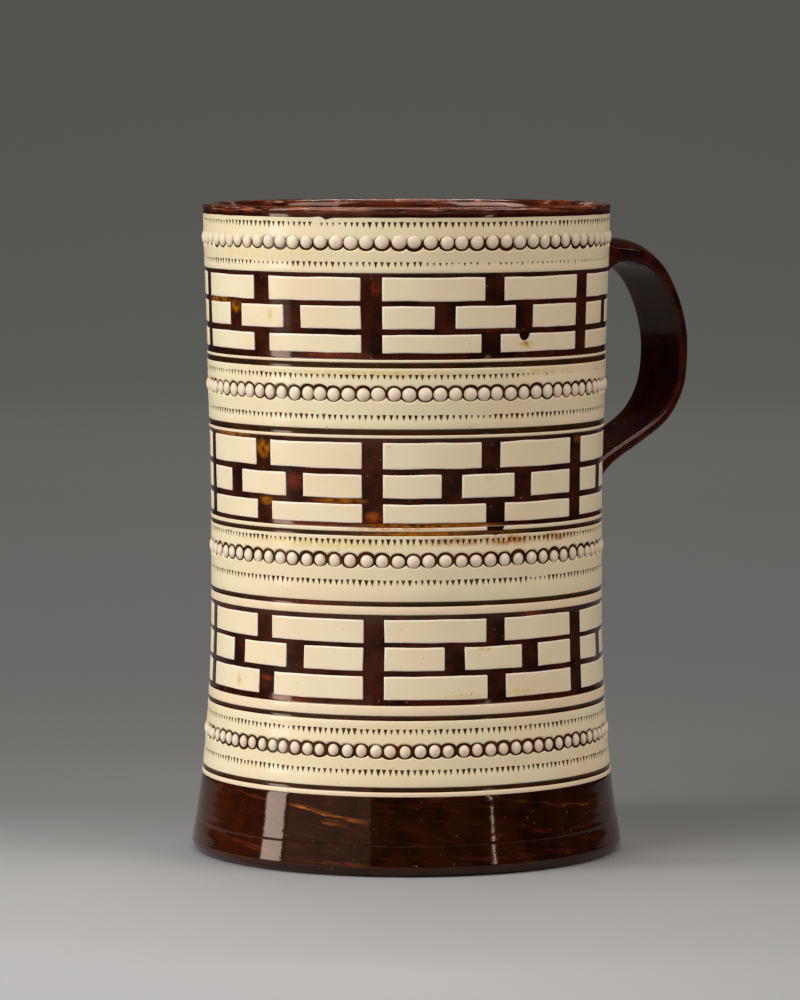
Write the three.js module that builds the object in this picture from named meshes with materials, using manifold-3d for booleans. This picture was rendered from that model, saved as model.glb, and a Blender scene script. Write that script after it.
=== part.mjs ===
// Straight-sided pottery mug: a turned body with three fields of brickwork, four rows of beads,
// inlaid slip lines, slip-dipped foot and lip, and a strap handle.
// Sizes are millimetres and angles are degrees, with +Z up.
// The origin is the centre of the base. The handle stands out along +X.

import * as THREE from 'three';
import { mergeVertices } from 'three/addons/utils/BufferGeometryUtils.js';
import Module from 'manifold-3d';

const wasm = await Module();
wasm.setup();

// Flat facets round the axis of each turned piece
const TURN_FACETS = 36;

// Clear space round an inlay in its groove, and between the handle and the wall
const INLAY_CLEARANCE = 0.12;
const HANDLE_CLEARANCE = 0.3;

// Height from the resting face to the top of the lip
const MUG_HEIGHT = 152;

// Outer radius of the wall: it flares at the foot, is narrowest at the waist and opens to the lip
const BASE_RADIUS = 50.87;
const MID_FOOT_RADIUS = 49.6;
const ANKLE_RADIUS = 48.34;
const LOWER_WALL_RADIUS = 46.86;
const WAIST_RADIUS = 46.05;
const LIP_RADIUS = 47.8;

// Hollow of the mug: the wall is thickest at the foot and thins to the lip
const FLOOR_THICKNESS = 5.5;
const FOOT_WALL_THICKNESS = 7.84;
const LOWER_WALL_THICKNESS = 5.54;
const WAIST_WALL_THICKNESS = 3.76;
const LIP_THICKNESS = 3.3;
const FLOOR_CORNER_RADIUS = 9;

// Slip-dipped foot: a skin on the outside that stops short of the resting face
const FOOT_BAND_HEIGHT = 18.1;
const FOOT_SLIP_THICKNESS = 0.8;
const FOOT_SLIP_GROUND_GAP = 0.6;
const BASE_CHAMFER = 0.7;

// Slip-dipped lip: a cap over the rim of the wall, which runs further down inside than outside
const RIM_BAND_HEIGHT = 2.35;
const RIM_SLIP_THICKNESS = 0.8;
const RIM_INSIDE_DEPTH = 7;
const LIP_ROUNDING = 0.8;

// Turned lines filled with slip, V-shaped as a pointed tool cuts them
const LINE_DEPTH = 0.6;

// Bead rows: a row of raised beads that stands in a shallow channel
const BEAD_ROW_HEIGHT = 3.3;
const BEAD_PROJECTION = 0.8;
const BEAD_CHANNEL_HEIGHT = 4.2;
const BEAD_CHANNEL_DEPTH = 0.7;
const BEAD_NECK_THICKNESS = 0.45;

// Brickwork: each field is a channel filled with slip, with the bricks left standing in it
const BRICK_CHANNEL_DEPTH = 1.2;
const BRICK_RELIEF = 0.4;
const BRICK_PANELS = 5;
const FIRST_UPRIGHT_ANGLE = 8.55;
const UPRIGHT_ANGLE = 6.2;
const JOINT_ANGLE = 6.1;

// Joints of each course, measured round from the centre of its panel's upright, lowest course first
const COURSE_JOINT_ANGLES = [[34.7], [21.7, 46.6], [35.8]];

// The wall above the foot is three tiers and a last bead band under the lip.
// From the bottom up, a tier is a plain gap, a line, a bead band, a line, a plain gap and a brick field.
const GAP_HEIGHTS = [1.1, 2.3, 1.9, 0.9, 0.7, 0.65];
const LINE_HEIGHTS = [1.1, 1.1, 1.1, 1.0, 1.4, 1.3];
const BEAD_BAND_HEIGHTS = [15.1, 15.0, 13.8, 12.5];

// Middle of each bead row above the bottom of its band, and the number of beads in the row
const BEAD_CENTRE_HEIGHTS = [8.4, 9.3, 7.9, 6.9];
const BEAD_COUNTS = [89, 79, 84, 82];

// Level joints of each brick field, from the bottom up, with one under each course and one on top
const FIELD_JOINT_HEIGHTS = [[1.3, 1.2, 1.0, 1.1], [1.0, 1.3, 1.3, 1.0], [1.4, 1.3, 1.1, 1.0]];

// The courses of brick share what is left of the mug's height, in these proportions
const FIELD_COURSE_SHARES = [[5.4, 5.4, 5.3], [4.3, 5.4, 6.0], [4.2, 5.2, 5.4]];
const FIELD_NAMES = ['lower', 'middle', 'upper'];

// Strap handle: its section is flat inside and crowned outside
const HANDLE_WIDTH = 16.5;
const HANDLE_EDGE_SHARE = 0.5;
const HANDLE_CROWN = 2.4;
const HANDLE_STEPS = 34;

// Centre line of the strap from its upper root to its lower one.
// Each point is the distance out from the wall, the depth below the lip, and the strap's thickness.
const HANDLE_PATH = [
  [-3.1, 15.4, 13.4],
  [3.4, 13.3, 9.6],
  [10.4, 11.8, 6.0],
  [17.9, 12.9, 5.7],
  [23.4, 16.4, 5.1],
  [27.5, 22.7, 4.4],
  [30.3, 31.0, 4.0],
  [30.7, 39.0, 3.9],
  [29.3, 46.4, 4.0],
  [25.0, 52.8, 4.2],
  [17.9, 57.5, 4.2],
  [9.9, 61.8, 4.6],
  [3.9, 65.9, 5.9],
  [-3.1, 72.0, 9.0],
];

// Finishes
const GLAZED_CREAM = new THREE.MeshStandardMaterial({ color: 0xe4d6ae, roughness: 0.25, metalness: 0 });
const GLAZED_WHITE = new THREE.MeshStandardMaterial({ color: 0xeee0c8, roughness: 0.25, metalness: 0 });
const BROWN_SLIP = new THREE.MeshStandardMaterial({ color: 0x34160c, roughness: 0.2, metalness: 0 });

// Heights of the bands, worked upwards from the foot

function sum(values) {
  return values.reduce((total, value) => total + value, 0);
}

const fixedHeights = [FOOT_BAND_HEIGHT, ...GAP_HEIGHTS, ...LINE_HEIGHTS, ...BEAD_BAND_HEIGHTS,
  ...FIELD_JOINT_HEIGHTS.flat(), RIM_BAND_HEIGHT];
const shareHeight = (MUG_HEIGHT - sum(fixedHeights)) / sum(FIELD_COURSE_SHARES.flat());

function stackBands() {
  const stacked = [];
  let level = FOOT_BAND_HEIGHT;
  const add = (height, band) => {
    stacked.push({ ...band, bottom: level, top: level + height });
    level += height;
  };
  const addLine = (index) => {
    add(LINE_HEIGHTS[index], { kind: 'line', name: `line_slip_${index + 1}` });
  };
  const addBeads = (index) => {
    const band = { kind: 'beads', name: `bead_row_${index + 1}`, beads: BEAD_COUNTS[index] };
    add(BEAD_BAND_HEIGHTS[index], { ...band, centre: level + BEAD_CENTRE_HEIGHTS[index] });
  };
  FIELD_NAMES.forEach((name, tier) => {
    const joints = FIELD_JOINT_HEIGHTS[tier];
    const courses = FIELD_COURSE_SHARES[tier].map((share) => share * shareHeight);
    level += GAP_HEIGHTS[2 * tier];
    addLine(2 * tier);
    addBeads(tier);
    addLine(2 * tier + 1);
    level += GAP_HEIGHTS[2 * tier + 1];
    add(sum(joints) + sum(courses), { kind: 'bricks', name: `brick_slip_${name}`, joints, courses });
  });
  addBeads(FIELD_NAMES.length);
  return stacked;
}

const bands = stackBands();
const lines = bands.filter((band) => band.kind === 'line');
const beadRows = bands.filter((band) => band.kind === 'beads');
const brickFields = bands.filter((band) => band.kind === 'bricks');
const rimBottom = MUG_HEIGHT - RIM_BAND_HEIGHT;
const waistLevel = (beadRows[1].bottom + beadRows[1].top) / 2;

const wallStations = [
  { level: 0, radius: BASE_RADIUS, slope: 0 },
  { level: FOOT_BAND_HEIGHT / 2, radius: MID_FOOT_RADIUS },
  { level: FOOT_BAND_HEIGHT, radius: ANKLE_RADIUS },
  { level: beadRows[0].top, radius: LOWER_WALL_RADIUS },
  { level: waistLevel, radius: WAIST_RADIUS, slope: 0 },
  { level: MUG_HEIGHT, radius: LIP_RADIUS },
];

// Slope of the wall's face at a station: the mean of the slopes on each side of it
function stationSlope(index) {
  const here = wallStations[index];
  if (here.slope !== undefined) {
    return here.slope;
  }
  const before = wallStations[index - 1];
  const slopeBefore = (here.radius - before.radius) / (here.level - before.level);
  const after = wallStations[index + 1];
  if (after === undefined) {
    return slopeBefore;
  }
  const slopeAfter = (after.radius - here.radius) / (after.level - here.level);
  return (slopeBefore + slopeAfter) / 2;
}

// Outer radius of the wall at a level, on a smooth curve through the stations
function wallRadius(level) {
  const found = wallStations.findIndex((station) => station.level >= level);
  const upperIndex = found === -1 ? wallStations.length - 1 : Math.max(found, 1);
  const lower = wallStations[upperIndex - 1];
  const upper = wallStations[upperIndex];
  const span = upper.level - lower.level;
  const t = Math.min(Math.max((level - lower.level) / span, 0), 1);
  const rise = t * t * (3 - 2 * t);
  const leave = t * (1 - t) * (1 - t);
  const arrive = t * t * (t - 1);
  return lower.radius * (1 - rise) + upper.radius * rise
    + span * (stationSlope(upperIndex - 1) * leave + stationSlope(upperIndex) * arrive);
}

const hollowStations = [
  { level: FLOOR_THICKNESS, radius: ANKLE_RADIUS - FOOT_WALL_THICKNESS },
  { level: beadRows[0].top, radius: LOWER_WALL_RADIUS - LOWER_WALL_THICKNESS },
  { level: waistLevel, radius: WAIST_RADIUS - WAIST_WALL_THICKNESS },
  { level: MUG_HEIGHT, radius: LIP_RADIUS - LIP_THICKNESS },
];

// Inner radius of the wall at a level, on straight lines through the stations
function hollowRadius(level) {
  const found = hollowStations.findIndex((station) => station.level >= level);
  const upper = hollowStations[Math.max(found, 1)];
  const lower = hollowStations[Math.max(found, 1) - 1];
  const t = (level - lower.level) / (upper.level - lower.level);
  return lower.radius + (upper.radius - lower.radius) * t;
}

// Geometry helpers

// Turns a closed profile of [radius, level] points about the Z axis; the profile runs anticlockwise
function turned(profile) {
  const loop = [...profile, profile[0]].map(([radius, level]) => new THREE.Vector2(radius, level));
  const geometry = new THREE.LatheGeometry(loop, TURN_FACETS);
  geometry.rotateX(Math.PI / 2);
  return geometry;
}

// Makes a solid of a closed mesh; triangles that shrink to a line on the axis are left out
function solidOf(geometry) {
  const bare = geometry.clone();
  bare.deleteAttribute('normal');
  bare.deleteAttribute('uv');
  const merged = mergeVertices(bare, 1e-4);
  const corners = [];
  for (let i = 0; i < merged.index.count; i += 3) {
    const [a, b, c] = [0, 1, 2].map((k) => merged.index.getX(i + k));
    if (a !== b && b !== c && c !== a) {
      corners.push(a, b, c);
    }
  }
  const vertProperties = new Float32Array(merged.attributes.position.array);
  return new wasm.Manifold(new wasm.Mesh({ numProp: 3, vertProperties, triVerts: new Uint32Array(corners) }));
}

// Gives the mesh of a solid back as a geometry
function geometryOf(solid) {
  const mesh = solid.getMesh();
  const geometry = new THREE.BufferGeometry();
  geometry.setAttribute('position', new THREE.BufferAttribute(new Float32Array(mesh.vertProperties), 3));
  geometry.setIndex(new THREE.BufferAttribute(new Uint32Array(mesh.triVerts), 1));
  return geometry;
}

// A block between two angles, two radii and two levels, with flat sides that point at the axis
function sector(from, to, innerRadius, outerRadius, bottom, top) {
  const corner = (angle, radius) => {
    const turn = THREE.MathUtils.degToRad(angle);
    return new THREE.Vector2(radius * Math.cos(turn), radius * Math.sin(turn));
  };
  const outline = new THREE.Shape([
    corner(from, innerRadius),
    corner(from, outerRadius),
    corner(to, outerRadius),
    corner(to, innerRadius),
  ]);
  const geometry = new THREE.ExtrudeGeometry(outline, { depth: top - bottom, bevelEnabled: false });
  geometry.translate(0, 0, bottom);
  return geometry;
}

function addMesh(group, name, geometry, material) {
  const mesh = new THREE.Mesh(geometry, material);
  mesh.name = name;
  group.add(mesh);
}

// Brickwork

// Angles of the bricks in one course of one panel: the gaps between them are the joints
function bricksInPanel(joints) {
  const panelAngle = 360 / BRICK_PANELS;
  const edges = [UPRIGHT_ANGLE / 2];
  for (const joint of joints) {
    edges.push(joint - JOINT_ANGLE / 2, joint + JOINT_ANGLE / 2);
  }
  edges.push(panelAngle - UPRIGHT_ANGLE / 2);
  const bricks = [];
  for (let i = 0; i < edges.length; i += 2) {
    bricks.push([edges[i], edges[i + 1]]);
  }
  return bricks;
}

// Blocks that hold all the bricks of a field, each grown on every side by the clearance given
function brickBlocks(field, clearance) {
  const innerRadius = wallRadius(field.bottom) / 2;
  const outerRadius = wallRadius(field.top) * 1.2;
  const turnClearance = THREE.MathUtils.radToDeg(clearance / wallRadius(field.bottom));
  const blocks = [];
  let level = field.bottom;
  field.courses.forEach((height, course) => {
    level += field.joints[course];
    for (let panel = 0; panel < BRICK_PANELS; panel += 1) {
      const upright = FIRST_UPRIGHT_ANGLE + (panel * 360) / BRICK_PANELS;
      for (const [from, to] of bricksInPanel(COURSE_JOINT_ANGLES[course])) {
        const start = upright + from - turnClearance;
        const end = upright + to + turnClearance;
        const bottom = level - clearance;
        const top = level + height + clearance;
        blocks.push(solidOf(sector(start, end, innerRadius, outerRadius, bottom, top)));
      }
    }
    level += height;
  });
  return wasm.Manifold.union(blocks);
}

// A ring that follows the wall between two levels, from one depth below its face to another
function wallRing(bottom, top, deep, shallow) {
  return turned([
    [wallRadius(bottom) - deep, bottom],
    [wallRadius(bottom) - shallow, bottom],
    [wallRadius(top) - shallow, top],
    [wallRadius(top) - deep, top],
  ]);
}

// The slip of a brick field: a net of uprights and joints with a window for each brick
function brickSlip(field) {
  const ring = solidOf(wallRing(
    field.bottom + INLAY_CLEARANCE,
    field.top - INLAY_CLEARANCE,
    BRICK_CHANNEL_DEPTH - INLAY_CLEARANCE,
    BRICK_RELIEF,
  ));
  return ring.subtract(brickBlocks(field, INLAY_CLEARANCE));
}

// What the turner takes out of the wall at a brick field: the channel, less the bricks
function brickChannel(field) {
  const ring = solidOf(wallRing(field.bottom, field.top, BRICK_CHANNEL_DEPTH, -1));
  return ring.subtract(brickBlocks(field, 0));
}

// Body

// Points of the outer face at one band, from the bottom up
function bandProfile(band) {
  const middle = (band.bottom + band.top) / 2;
  if (band.kind === 'line') {
    return [
      [wallRadius(band.bottom), band.bottom],
      [wallRadius(middle) - LINE_DEPTH, middle],
      [wallRadius(band.top), band.top],
    ];
  }
  if (band.kind === 'beads') {
    const low = band.centre - BEAD_CHANNEL_HEIGHT / 2;
    const high = band.centre + BEAD_CHANNEL_HEIGHT / 2;
    return [
      [wallRadius(low), low],
      [wallRadius(low) - BEAD_CHANNEL_DEPTH, low],
      [wallRadius(high) - BEAD_CHANNEL_DEPTH, high],
      [wallRadius(high), high],
    ];
  }
  return [
    [wallRadius(band.bottom), band.bottom],
    [wallRadius(band.top), band.top],
  ];
}

const footLevels = [0, 0.25, 0.5, 0.75, 1].map(
  (share) => FOOT_SLIP_GROUND_GAP + (FOOT_BAND_HEIGHT - FOOT_SLIP_GROUND_GAP) * share,
);

function bodyProfile() {
  const footInset = FOOT_SLIP_THICKNESS + INLAY_CLEARANCE;
  const rimInset = RIM_SLIP_THICKNESS + INLAY_CLEARANCE;
  const rimTop = MUG_HEIGHT - rimInset;
  const insideEdge = MUG_HEIGHT - RIM_INSIDE_DEPTH;
  const profile = [
    [0, 0],
    [wallRadius(0) - footInset - BASE_CHAMFER, 0],
  ];
  for (const level of footLevels) {
    profile.push([wallRadius(level) - footInset, level]);
  }
  profile.push([wallRadius(FOOT_BAND_HEIGHT), FOOT_BAND_HEIGHT + INLAY_CLEARANCE]);
  for (const band of bands) {
    profile.push(...bandProfile(band));
  }
  profile.push(
    [wallRadius(rimBottom), rimBottom - INLAY_CLEARANCE],
    [wallRadius(rimBottom) - rimInset, rimBottom - INLAY_CLEARANCE],
    [wallRadius(rimTop) - rimInset, rimTop],
    [hollowRadius(rimTop) + rimInset, rimTop],
    [hollowRadius(insideEdge) + rimInset, insideEdge - INLAY_CLEARANCE],
    [hollowRadius(insideEdge), insideEdge - INLAY_CLEARANCE],
    [hollowRadius(waistLevel), waistLevel],
    [hollowRadius(beadRows[0].top), beadRows[0].top],
  );
  for (const angle of [0, 30, 60, 90]) {
    const turn = THREE.MathUtils.degToRad(angle);
    const level = FLOOR_THICKNESS + FLOOR_CORNER_RADIUS * (1 - Math.sin(turn));
    const inset = FLOOR_CORNER_RADIUS * (1 - Math.cos(turn));
    profile.push([hollowRadius(level) - inset, level]);
  }
  profile.push([0, FLOOR_THICKNESS]);
  return profile;
}

function body() {
  const channels = wasm.Manifold.union(brickFields.map(brickChannel));
  return solidOf(turned(bodyProfile())).subtract(channels);
}

// Slip on the foot and lip, and in the lines

function footSlip() {
  const outside = footLevels.map((level) => [wallRadius(level), level]);
  const inside = footLevels.map((level) => [wallRadius(level) - FOOT_SLIP_THICKNESS, level]);
  return turned([...outside, ...inside.reverse()]);
}

function rimSlip() {
  const insideEdge = MUG_HEIGHT - RIM_INSIDE_DEPTH;
  const underside = MUG_HEIGHT - RIM_SLIP_THICKNESS;
  const shoulder = MUG_HEIGHT - LIP_ROUNDING;
  return turned([
    [wallRadius(rimBottom) - RIM_SLIP_THICKNESS, rimBottom],
    [wallRadius(rimBottom), rimBottom],
    [wallRadius(shoulder), shoulder],
    [wallRadius(MUG_HEIGHT) - LIP_ROUNDING, MUG_HEIGHT],
    [hollowRadius(MUG_HEIGHT) + LIP_ROUNDING, MUG_HEIGHT],
    [hollowRadius(shoulder), shoulder],
    [hollowRadius(insideEdge), insideEdge],
    [hollowRadius(insideEdge) + RIM_SLIP_THICKNESS, insideEdge],
    [hollowRadius(underside) + RIM_SLIP_THICKNESS, underside],
    [wallRadius(underside) - RIM_SLIP_THICKNESS, underside],
  ]);
}

// The slip in a V-shaped line, held off both faces of its groove by the clearance
function lineSlip(line) {
  const middle = (line.bottom + line.top) / 2;
  const halfWidth = (line.top - line.bottom) / 2;
  const faceLength = Math.hypot(halfWidth, LINE_DEPTH);
  const inset = (INLAY_CLEARANCE * faceLength) / LINE_DEPTH;
  const lift = (INLAY_CLEARANCE * faceLength) / halfWidth;
  return turned([
    [wallRadius(middle) - LINE_DEPTH + lift, middle],
    [wallRadius(line.bottom), line.bottom + inset],
    [wallRadius(line.top), line.top - inset],
  ]);
}

// Bead rows

// A closed ring of pyramids, one for each bead, that meet at low necks
function beadRow(row) {
  const low = row.centre - BEAD_ROW_HEIGHT / 2;
  const high = row.centre + BEAD_ROW_HEIGHT / 2;
  const backAt = (level) => wallRadius(level) - BEAD_CHANNEL_DEPTH + INLAY_CLEARANCE;
  const neck = backAt(row.centre) + BEAD_NECK_THICKNESS;
  const crown = wallRadius(row.centre) + BEAD_PROJECTION;
  const at = (index, radius, level) => {
    const turn = (2 * Math.PI * index) / row.beads;
    return [radius * Math.cos(turn), radius * Math.sin(turn), level];
  };
  const points = [];
  const corners = [];
  for (let i = 0; i < row.beads; i += 1) {
    points.push(at(i, backAt(low), low), at(i, neck, row.centre), at(i, backAt(high), high));
    points.push(at(i + 0.5, crown, row.centre));
    const [bottom, front, top, peak] = [0, 1, 2, 3].map((k) => 4 * i + k);
    const [nextBottom, nextFront, nextTop] = [0, 1, 2].map((k) => 4 * ((i + 1) % row.beads) + k);
    corners.push(bottom, nextBottom, peak, nextBottom, nextFront, peak, nextFront, nextTop, peak);
    corners.push(nextTop, top, peak, top, front, peak, front, bottom, peak);
    corners.push(bottom, top, nextTop, bottom, nextTop, nextBottom);
  }
  const geometry = new THREE.BufferGeometry();
  geometry.setAttribute('position', new THREE.Float32BufferAttribute(points.flat(), 3));
  geometry.setIndex(corners);
  return geometry;
}

// Handle

// Outline of the strap across its width: [sideways, outwards] from the middle of its thickness
function strapSection(thickness) {
  const half = HANDLE_WIDTH / 2;
  const edge = Math.max(thickness * HANDLE_EDGE_SHARE, thickness - HANDLE_CROWN);
  const shoulder = edge + (thickness - edge) * 0.75;
  return [
    [-half, 0],
    [half, 0],
    [half, edge],
    [half / 2, shoulder],
    [0, thickness],
    [-half / 2, shoulder],
    [-half, edge],
  ].map(([side, out]) => [side, out - thickness / 2]);
}

function strap() {
  const seat = wallRadius(MUG_HEIGHT - HANDLE_PATH[7][1]);
  const path = new THREE.CatmullRomCurve3(
    HANDLE_PATH.map(([out, down, thickness]) => new THREE.Vector3(seat + out, thickness, MUG_HEIGHT - down)),
  );
  const points = [];
  const corners = [];
  for (let i = 0; i <= HANDLE_STEPS; i += 1) {
    const place = path.getPoint(i / HANDLE_STEPS);
    const ahead = path.getTangent(i / HANDLE_STEPS).setY(0).normalize();
    const section = strapSection(place.y);
    for (const [side, out] of section) {
      points.push(place.x - ahead.z * out, side, place.z + ahead.x * out);
    }
    const count = section.length;
    const first = i * count;
    for (let k = 0; k < count && i < HANDLE_STEPS; k += 1) {
      const next = (k + 1) % count;
      corners.push(first + k, first + next, first + count + next);
      corners.push(first + k, first + count + next, first + count + k);
    }
    for (let k = 1; k < count - 1 && (i === 0 || i === HANDLE_STEPS); k += 1) {
      corners.push(...(i === 0 ? [first, first + k + 1, first + k] : [first, first + k, first + k + 1]));
    }
  }
  const geometry = new THREE.BufferGeometry();
  geometry.setAttribute('position', new THREE.Float32BufferAttribute(points, 3));
  geometry.setIndex(corners);
  return geometry;
}

// The space that the handle keeps clear of: the wall, and the bead rows that stand out of it
function wallEnvelope() {
  const face = [];
  const around = (level, extra) => [wallRadius(level) + HANDLE_CLEARANCE + extra, level];
  for (const row of beadRows) {
    const low = row.centre - BEAD_ROW_HEIGHT / 2 - HANDLE_CLEARANCE;
    const high = row.centre + BEAD_ROW_HEIGHT / 2 + HANDLE_CLEARANCE;
    face.push(around(low, 0), around(low, BEAD_PROJECTION), around(high, BEAD_PROJECTION), around(high, 0));
  }
  for (const field of brickFields) {
    face.push(around(field.bottom, 0), around(field.top, 0));
  }
  face.sort((a, b) => a[1] - b[1]);
  return turned([[0, 0], around(0, 0), ...face, around(MUG_HEIGHT, 0), [0, MUG_HEIGHT]]);
}

function handle() {
  return solidOf(strap()).subtract(solidOf(wallEnvelope()));
}

// Assembly

function mug() {
  const group = new THREE.Group();
  addMesh(group, 'body', geometryOf(body()), GLAZED_CREAM);
  addMesh(group, 'handle', geometryOf(handle()), BROWN_SLIP);
  addMesh(group, 'rim_slip', rimSlip(), BROWN_SLIP);
  addMesh(group, 'foot_slip', footSlip(), BROWN_SLIP);
  for (const field of brickFields) {
    addMesh(group, field.name, geometryOf(brickSlip(field)), BROWN_SLIP);
  }
  for (const line of lines) {
    addMesh(group, line.name, lineSlip(line), BROWN_SLIP);
  }
  for (const row of beadRows) {
    addMesh(group, row.name, beadRow(row), GLAZED_WHITE);
  }
  return group;
}

export default mug();
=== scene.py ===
"""Straight-sided pottery mug: relief brickwork in brown slip, rows of beads and a pulled strap handle.

All sizes are in millimetres unless a name says otherwise, and meshes are written in metres.
Levels are heights above the table. Angles are plan angles about the mug's axis, from the handle.
"""

import logging
import math
import random
from dataclasses import dataclass
from enum import Enum
from typing import Callable, Iterable, Sequence

import bmesh
import bpy
from mathutils import Matrix, Vector, noise


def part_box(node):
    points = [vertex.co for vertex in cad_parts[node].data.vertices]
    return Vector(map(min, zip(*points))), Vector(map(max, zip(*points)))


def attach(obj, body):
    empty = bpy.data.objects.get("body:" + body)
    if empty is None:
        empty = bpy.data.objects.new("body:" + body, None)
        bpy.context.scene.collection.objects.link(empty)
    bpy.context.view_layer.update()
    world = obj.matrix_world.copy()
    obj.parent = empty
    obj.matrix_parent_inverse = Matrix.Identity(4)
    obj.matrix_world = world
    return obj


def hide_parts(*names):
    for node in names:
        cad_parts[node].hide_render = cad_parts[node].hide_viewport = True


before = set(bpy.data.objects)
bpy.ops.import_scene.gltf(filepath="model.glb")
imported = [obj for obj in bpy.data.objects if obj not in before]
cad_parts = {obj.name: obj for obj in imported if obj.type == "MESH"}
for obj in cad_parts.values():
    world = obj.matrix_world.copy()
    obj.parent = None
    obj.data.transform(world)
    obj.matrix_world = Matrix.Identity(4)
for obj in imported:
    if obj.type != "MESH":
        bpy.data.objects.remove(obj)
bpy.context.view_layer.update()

BODY = "root"

MM = 0.001
FULL_TURN = 2.0 * math.pi
TURN_STEPS = 216
MERGE_DISTANCE = 0.001 * MM
WALL_RADIUS = 46.6
SPOT_DEPTH = 30.0
SPOT_CORE = 0.35
SMOOTH_DEGREES = 35.0
BALL_RINGS = 12
NOISE_SEED = 7
GLAZE_IOR = 1.5
LEAD_GLAZE_IOR = 1.54

Point = tuple[float, float]
Colour = tuple[float, float, float, float]
Piece = bpy.types.Object
Material = bpy.types.Material
Tree = bpy.types.NodeTree
Node = bpy.types.Node
Socket = bpy.types.NodeSocket
Source = Socket | Node

log = logging.getLogger("mug")


class Slot(Enum):
    """The record's material slots."""

    CREAM = "cream_glaze"
    BEAD = "bead_glaze"
    BROWN = "brown_slip"
    HANDLE = "handle_slip"


class Side(Enum):
    """Whether a tick row lies above or below its bead row."""

    ABOVE = 1
    BELOW = -1


# Mesh helpers


def deselect_all() -> None:
    """Leave nothing selected, so that an operator acts on the new piece alone."""
    bpy.ops.object.select_all(action="DESELECT")


def activate(piece: Piece) -> None:
    """Select one piece alone and make it the active one."""
    deselect_all()
    piece.select_set(True)
    bpy.context.view_layer.objects.active = piece


def new_primitive(name: str) -> Piece:
    """Name the primitive that an operator has just added, and open it in edit mode.

    Args:
        name: Name for the object and its mesh.

    Returns:
        The primitive's object, in edit mode with all of it selected.
    """
    piece = bpy.context.active_object
    piece.name = name
    piece.data.name = name
    bpy.ops.object.mode_set(mode="EDIT")
    bpy.ops.mesh.select_all(action="SELECT")
    return piece


def close_edit() -> None:
    """Leave edit mode."""
    bpy.ops.object.mode_set(mode="OBJECT")


def select_edges(piece: Piece, wanted: Callable[[Vector, Vector], bool]) -> None:
    """Select the edges of a piece in edit mode that pass a test.

    Args:
        piece: The piece, in edit mode.
        wanted: Test on an edge's two end points.
    """
    mesh = bmesh.from_edit_mesh(piece.data)
    for vertex in mesh.verts:
        vertex.select = False
    for edge in mesh.edges:
        edge.select = wanted(edge.verts[0].co, edge.verts[1].co)
    mesh.select_flush_mode()
    bmesh.update_edit_mesh(piece.data)


def select_faces(piece: Piece, wanted: Callable[[Vector, Vector], bool]) -> None:
    """Select the faces of a piece in edit mode that pass a test.

    Args:
        piece: The piece, in edit mode.
        wanted: Test on a face's middle and its normal.
    """
    mesh = bmesh.from_edit_mesh(piece.data)
    for face in mesh.faces:
        face.select = wanted(face.calc_center_median(), face.normal)
    mesh.select_flush_mode()
    bmesh.update_edit_mesh(piece.data)


def store(piece: Piece, name: str, values: Sequence[float]) -> None:
    """Store one value a vertex as a named attribute that a material can read."""
    attribute = piece.data.attributes.new(name, "FLOAT", "POINT")
    attribute.data.foreach_set("value", values)


def draw_outline(name: str, points: Sequence[Point]) -> Piece:
    """Draw a chain of edges in the XZ plane by extruding one vertex from point to point.

    Args:
        name: Name of the new object.
        points: Radius and level of each point.

    Returns:
        The outline's object, in edit mode with all of it selected.
    """
    deselect_all()
    bpy.ops.mesh.primitive_plane_add(size=MM)
    outline = new_primitive(name)
    bpy.ops.mesh.merge(type="CENTER")
    places = [Vector((radius * MM, 0.0, level * MM)) for radius, level in points]
    bpy.ops.transform.translate(value=places[0])
    for here, there in zip(places, places[1:]):
        bpy.ops.mesh.extrude_region_move(TRANSFORM_OT_translate={"value": there - here})
    bpy.ops.mesh.select_all(action="SELECT")
    return outline


def turn(name: str, points: Sequence[Point], steps: int = TURN_STEPS, inside: bool = False) -> Piece:
    """Turn an outline about the mug's axis into a shape.

    Args:
        name: Name of the new object.
        points: Radius and level of each point of the outline.
        steps: Number of steps in a full turn.
        inside: True for a shape that is seen from inside.

    Returns:
        The turned piece, with its seam and poles closed.
    """
    piece = draw_outline(name, points)
    bpy.ops.mesh.spin(steps=steps, angle=FULL_TURN, center=(0.0, 0.0, 0.0), axis=(0.0, 0.0, 1.0))
    bpy.ops.mesh.select_all(action="SELECT")
    bpy.ops.mesh.remove_doubles(threshold=MERGE_DISTANCE)
    bpy.ops.mesh.normals_make_consistent(inside=inside)
    close_edit()
    return piece


def shade_smooth(piece: Piece, degrees: float = SMOOTH_DEGREES) -> None:
    """Shade a piece smooth, with creases where faces meet at more than an angle.

    Args:
        piece: The piece to shade.
        degrees: Angle between faces above which an edge stays sharp.
    """
    activate(piece)
    bpy.ops.object.shade_smooth_by_angle(angle=math.radians(degrees))


def scatter(name: str, shape: Piece, places: Iterable[Matrix]) -> Piece:
    """Copy a modelled shape to many places as one mesh, and remove the shape.

    Args:
        name: Name of the new object.
        shape: The modelled shape, at the origin.
        places: Where each copy goes, in metres.

    Returns:
        The object that holds all the copies.
    """
    corners = [vertex.co.copy() for vertex in shape.data.vertices]
    faces = [tuple(face.vertices) for face in shape.data.polygons]
    marks = {layer.name: [mark.value for mark in layer.data]
             for layer in shape.data.attributes if layer.data_type == "FLOAT" and layer.domain == "POINT"}
    vertices: list[Vector] = []
    polygons: list[tuple[int, ...]] = []
    for place in places:
        first = len(vertices)
        vertices.extend(place @ corner for corner in corners)
        polygons.extend(tuple(first + index for index in face) for face in faces)
    mesh = bpy.data.meshes.new(name)
    mesh.from_pydata(vertices, [], polygons)
    mesh.update()
    piece = bpy.data.objects.new(name, mesh)
    bpy.context.scene.collection.objects.link(piece)
    for mark, values in marks.items():
        store(piece, mark, values * (len(vertices) // len(corners)))
    remove(shape)
    return piece


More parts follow.
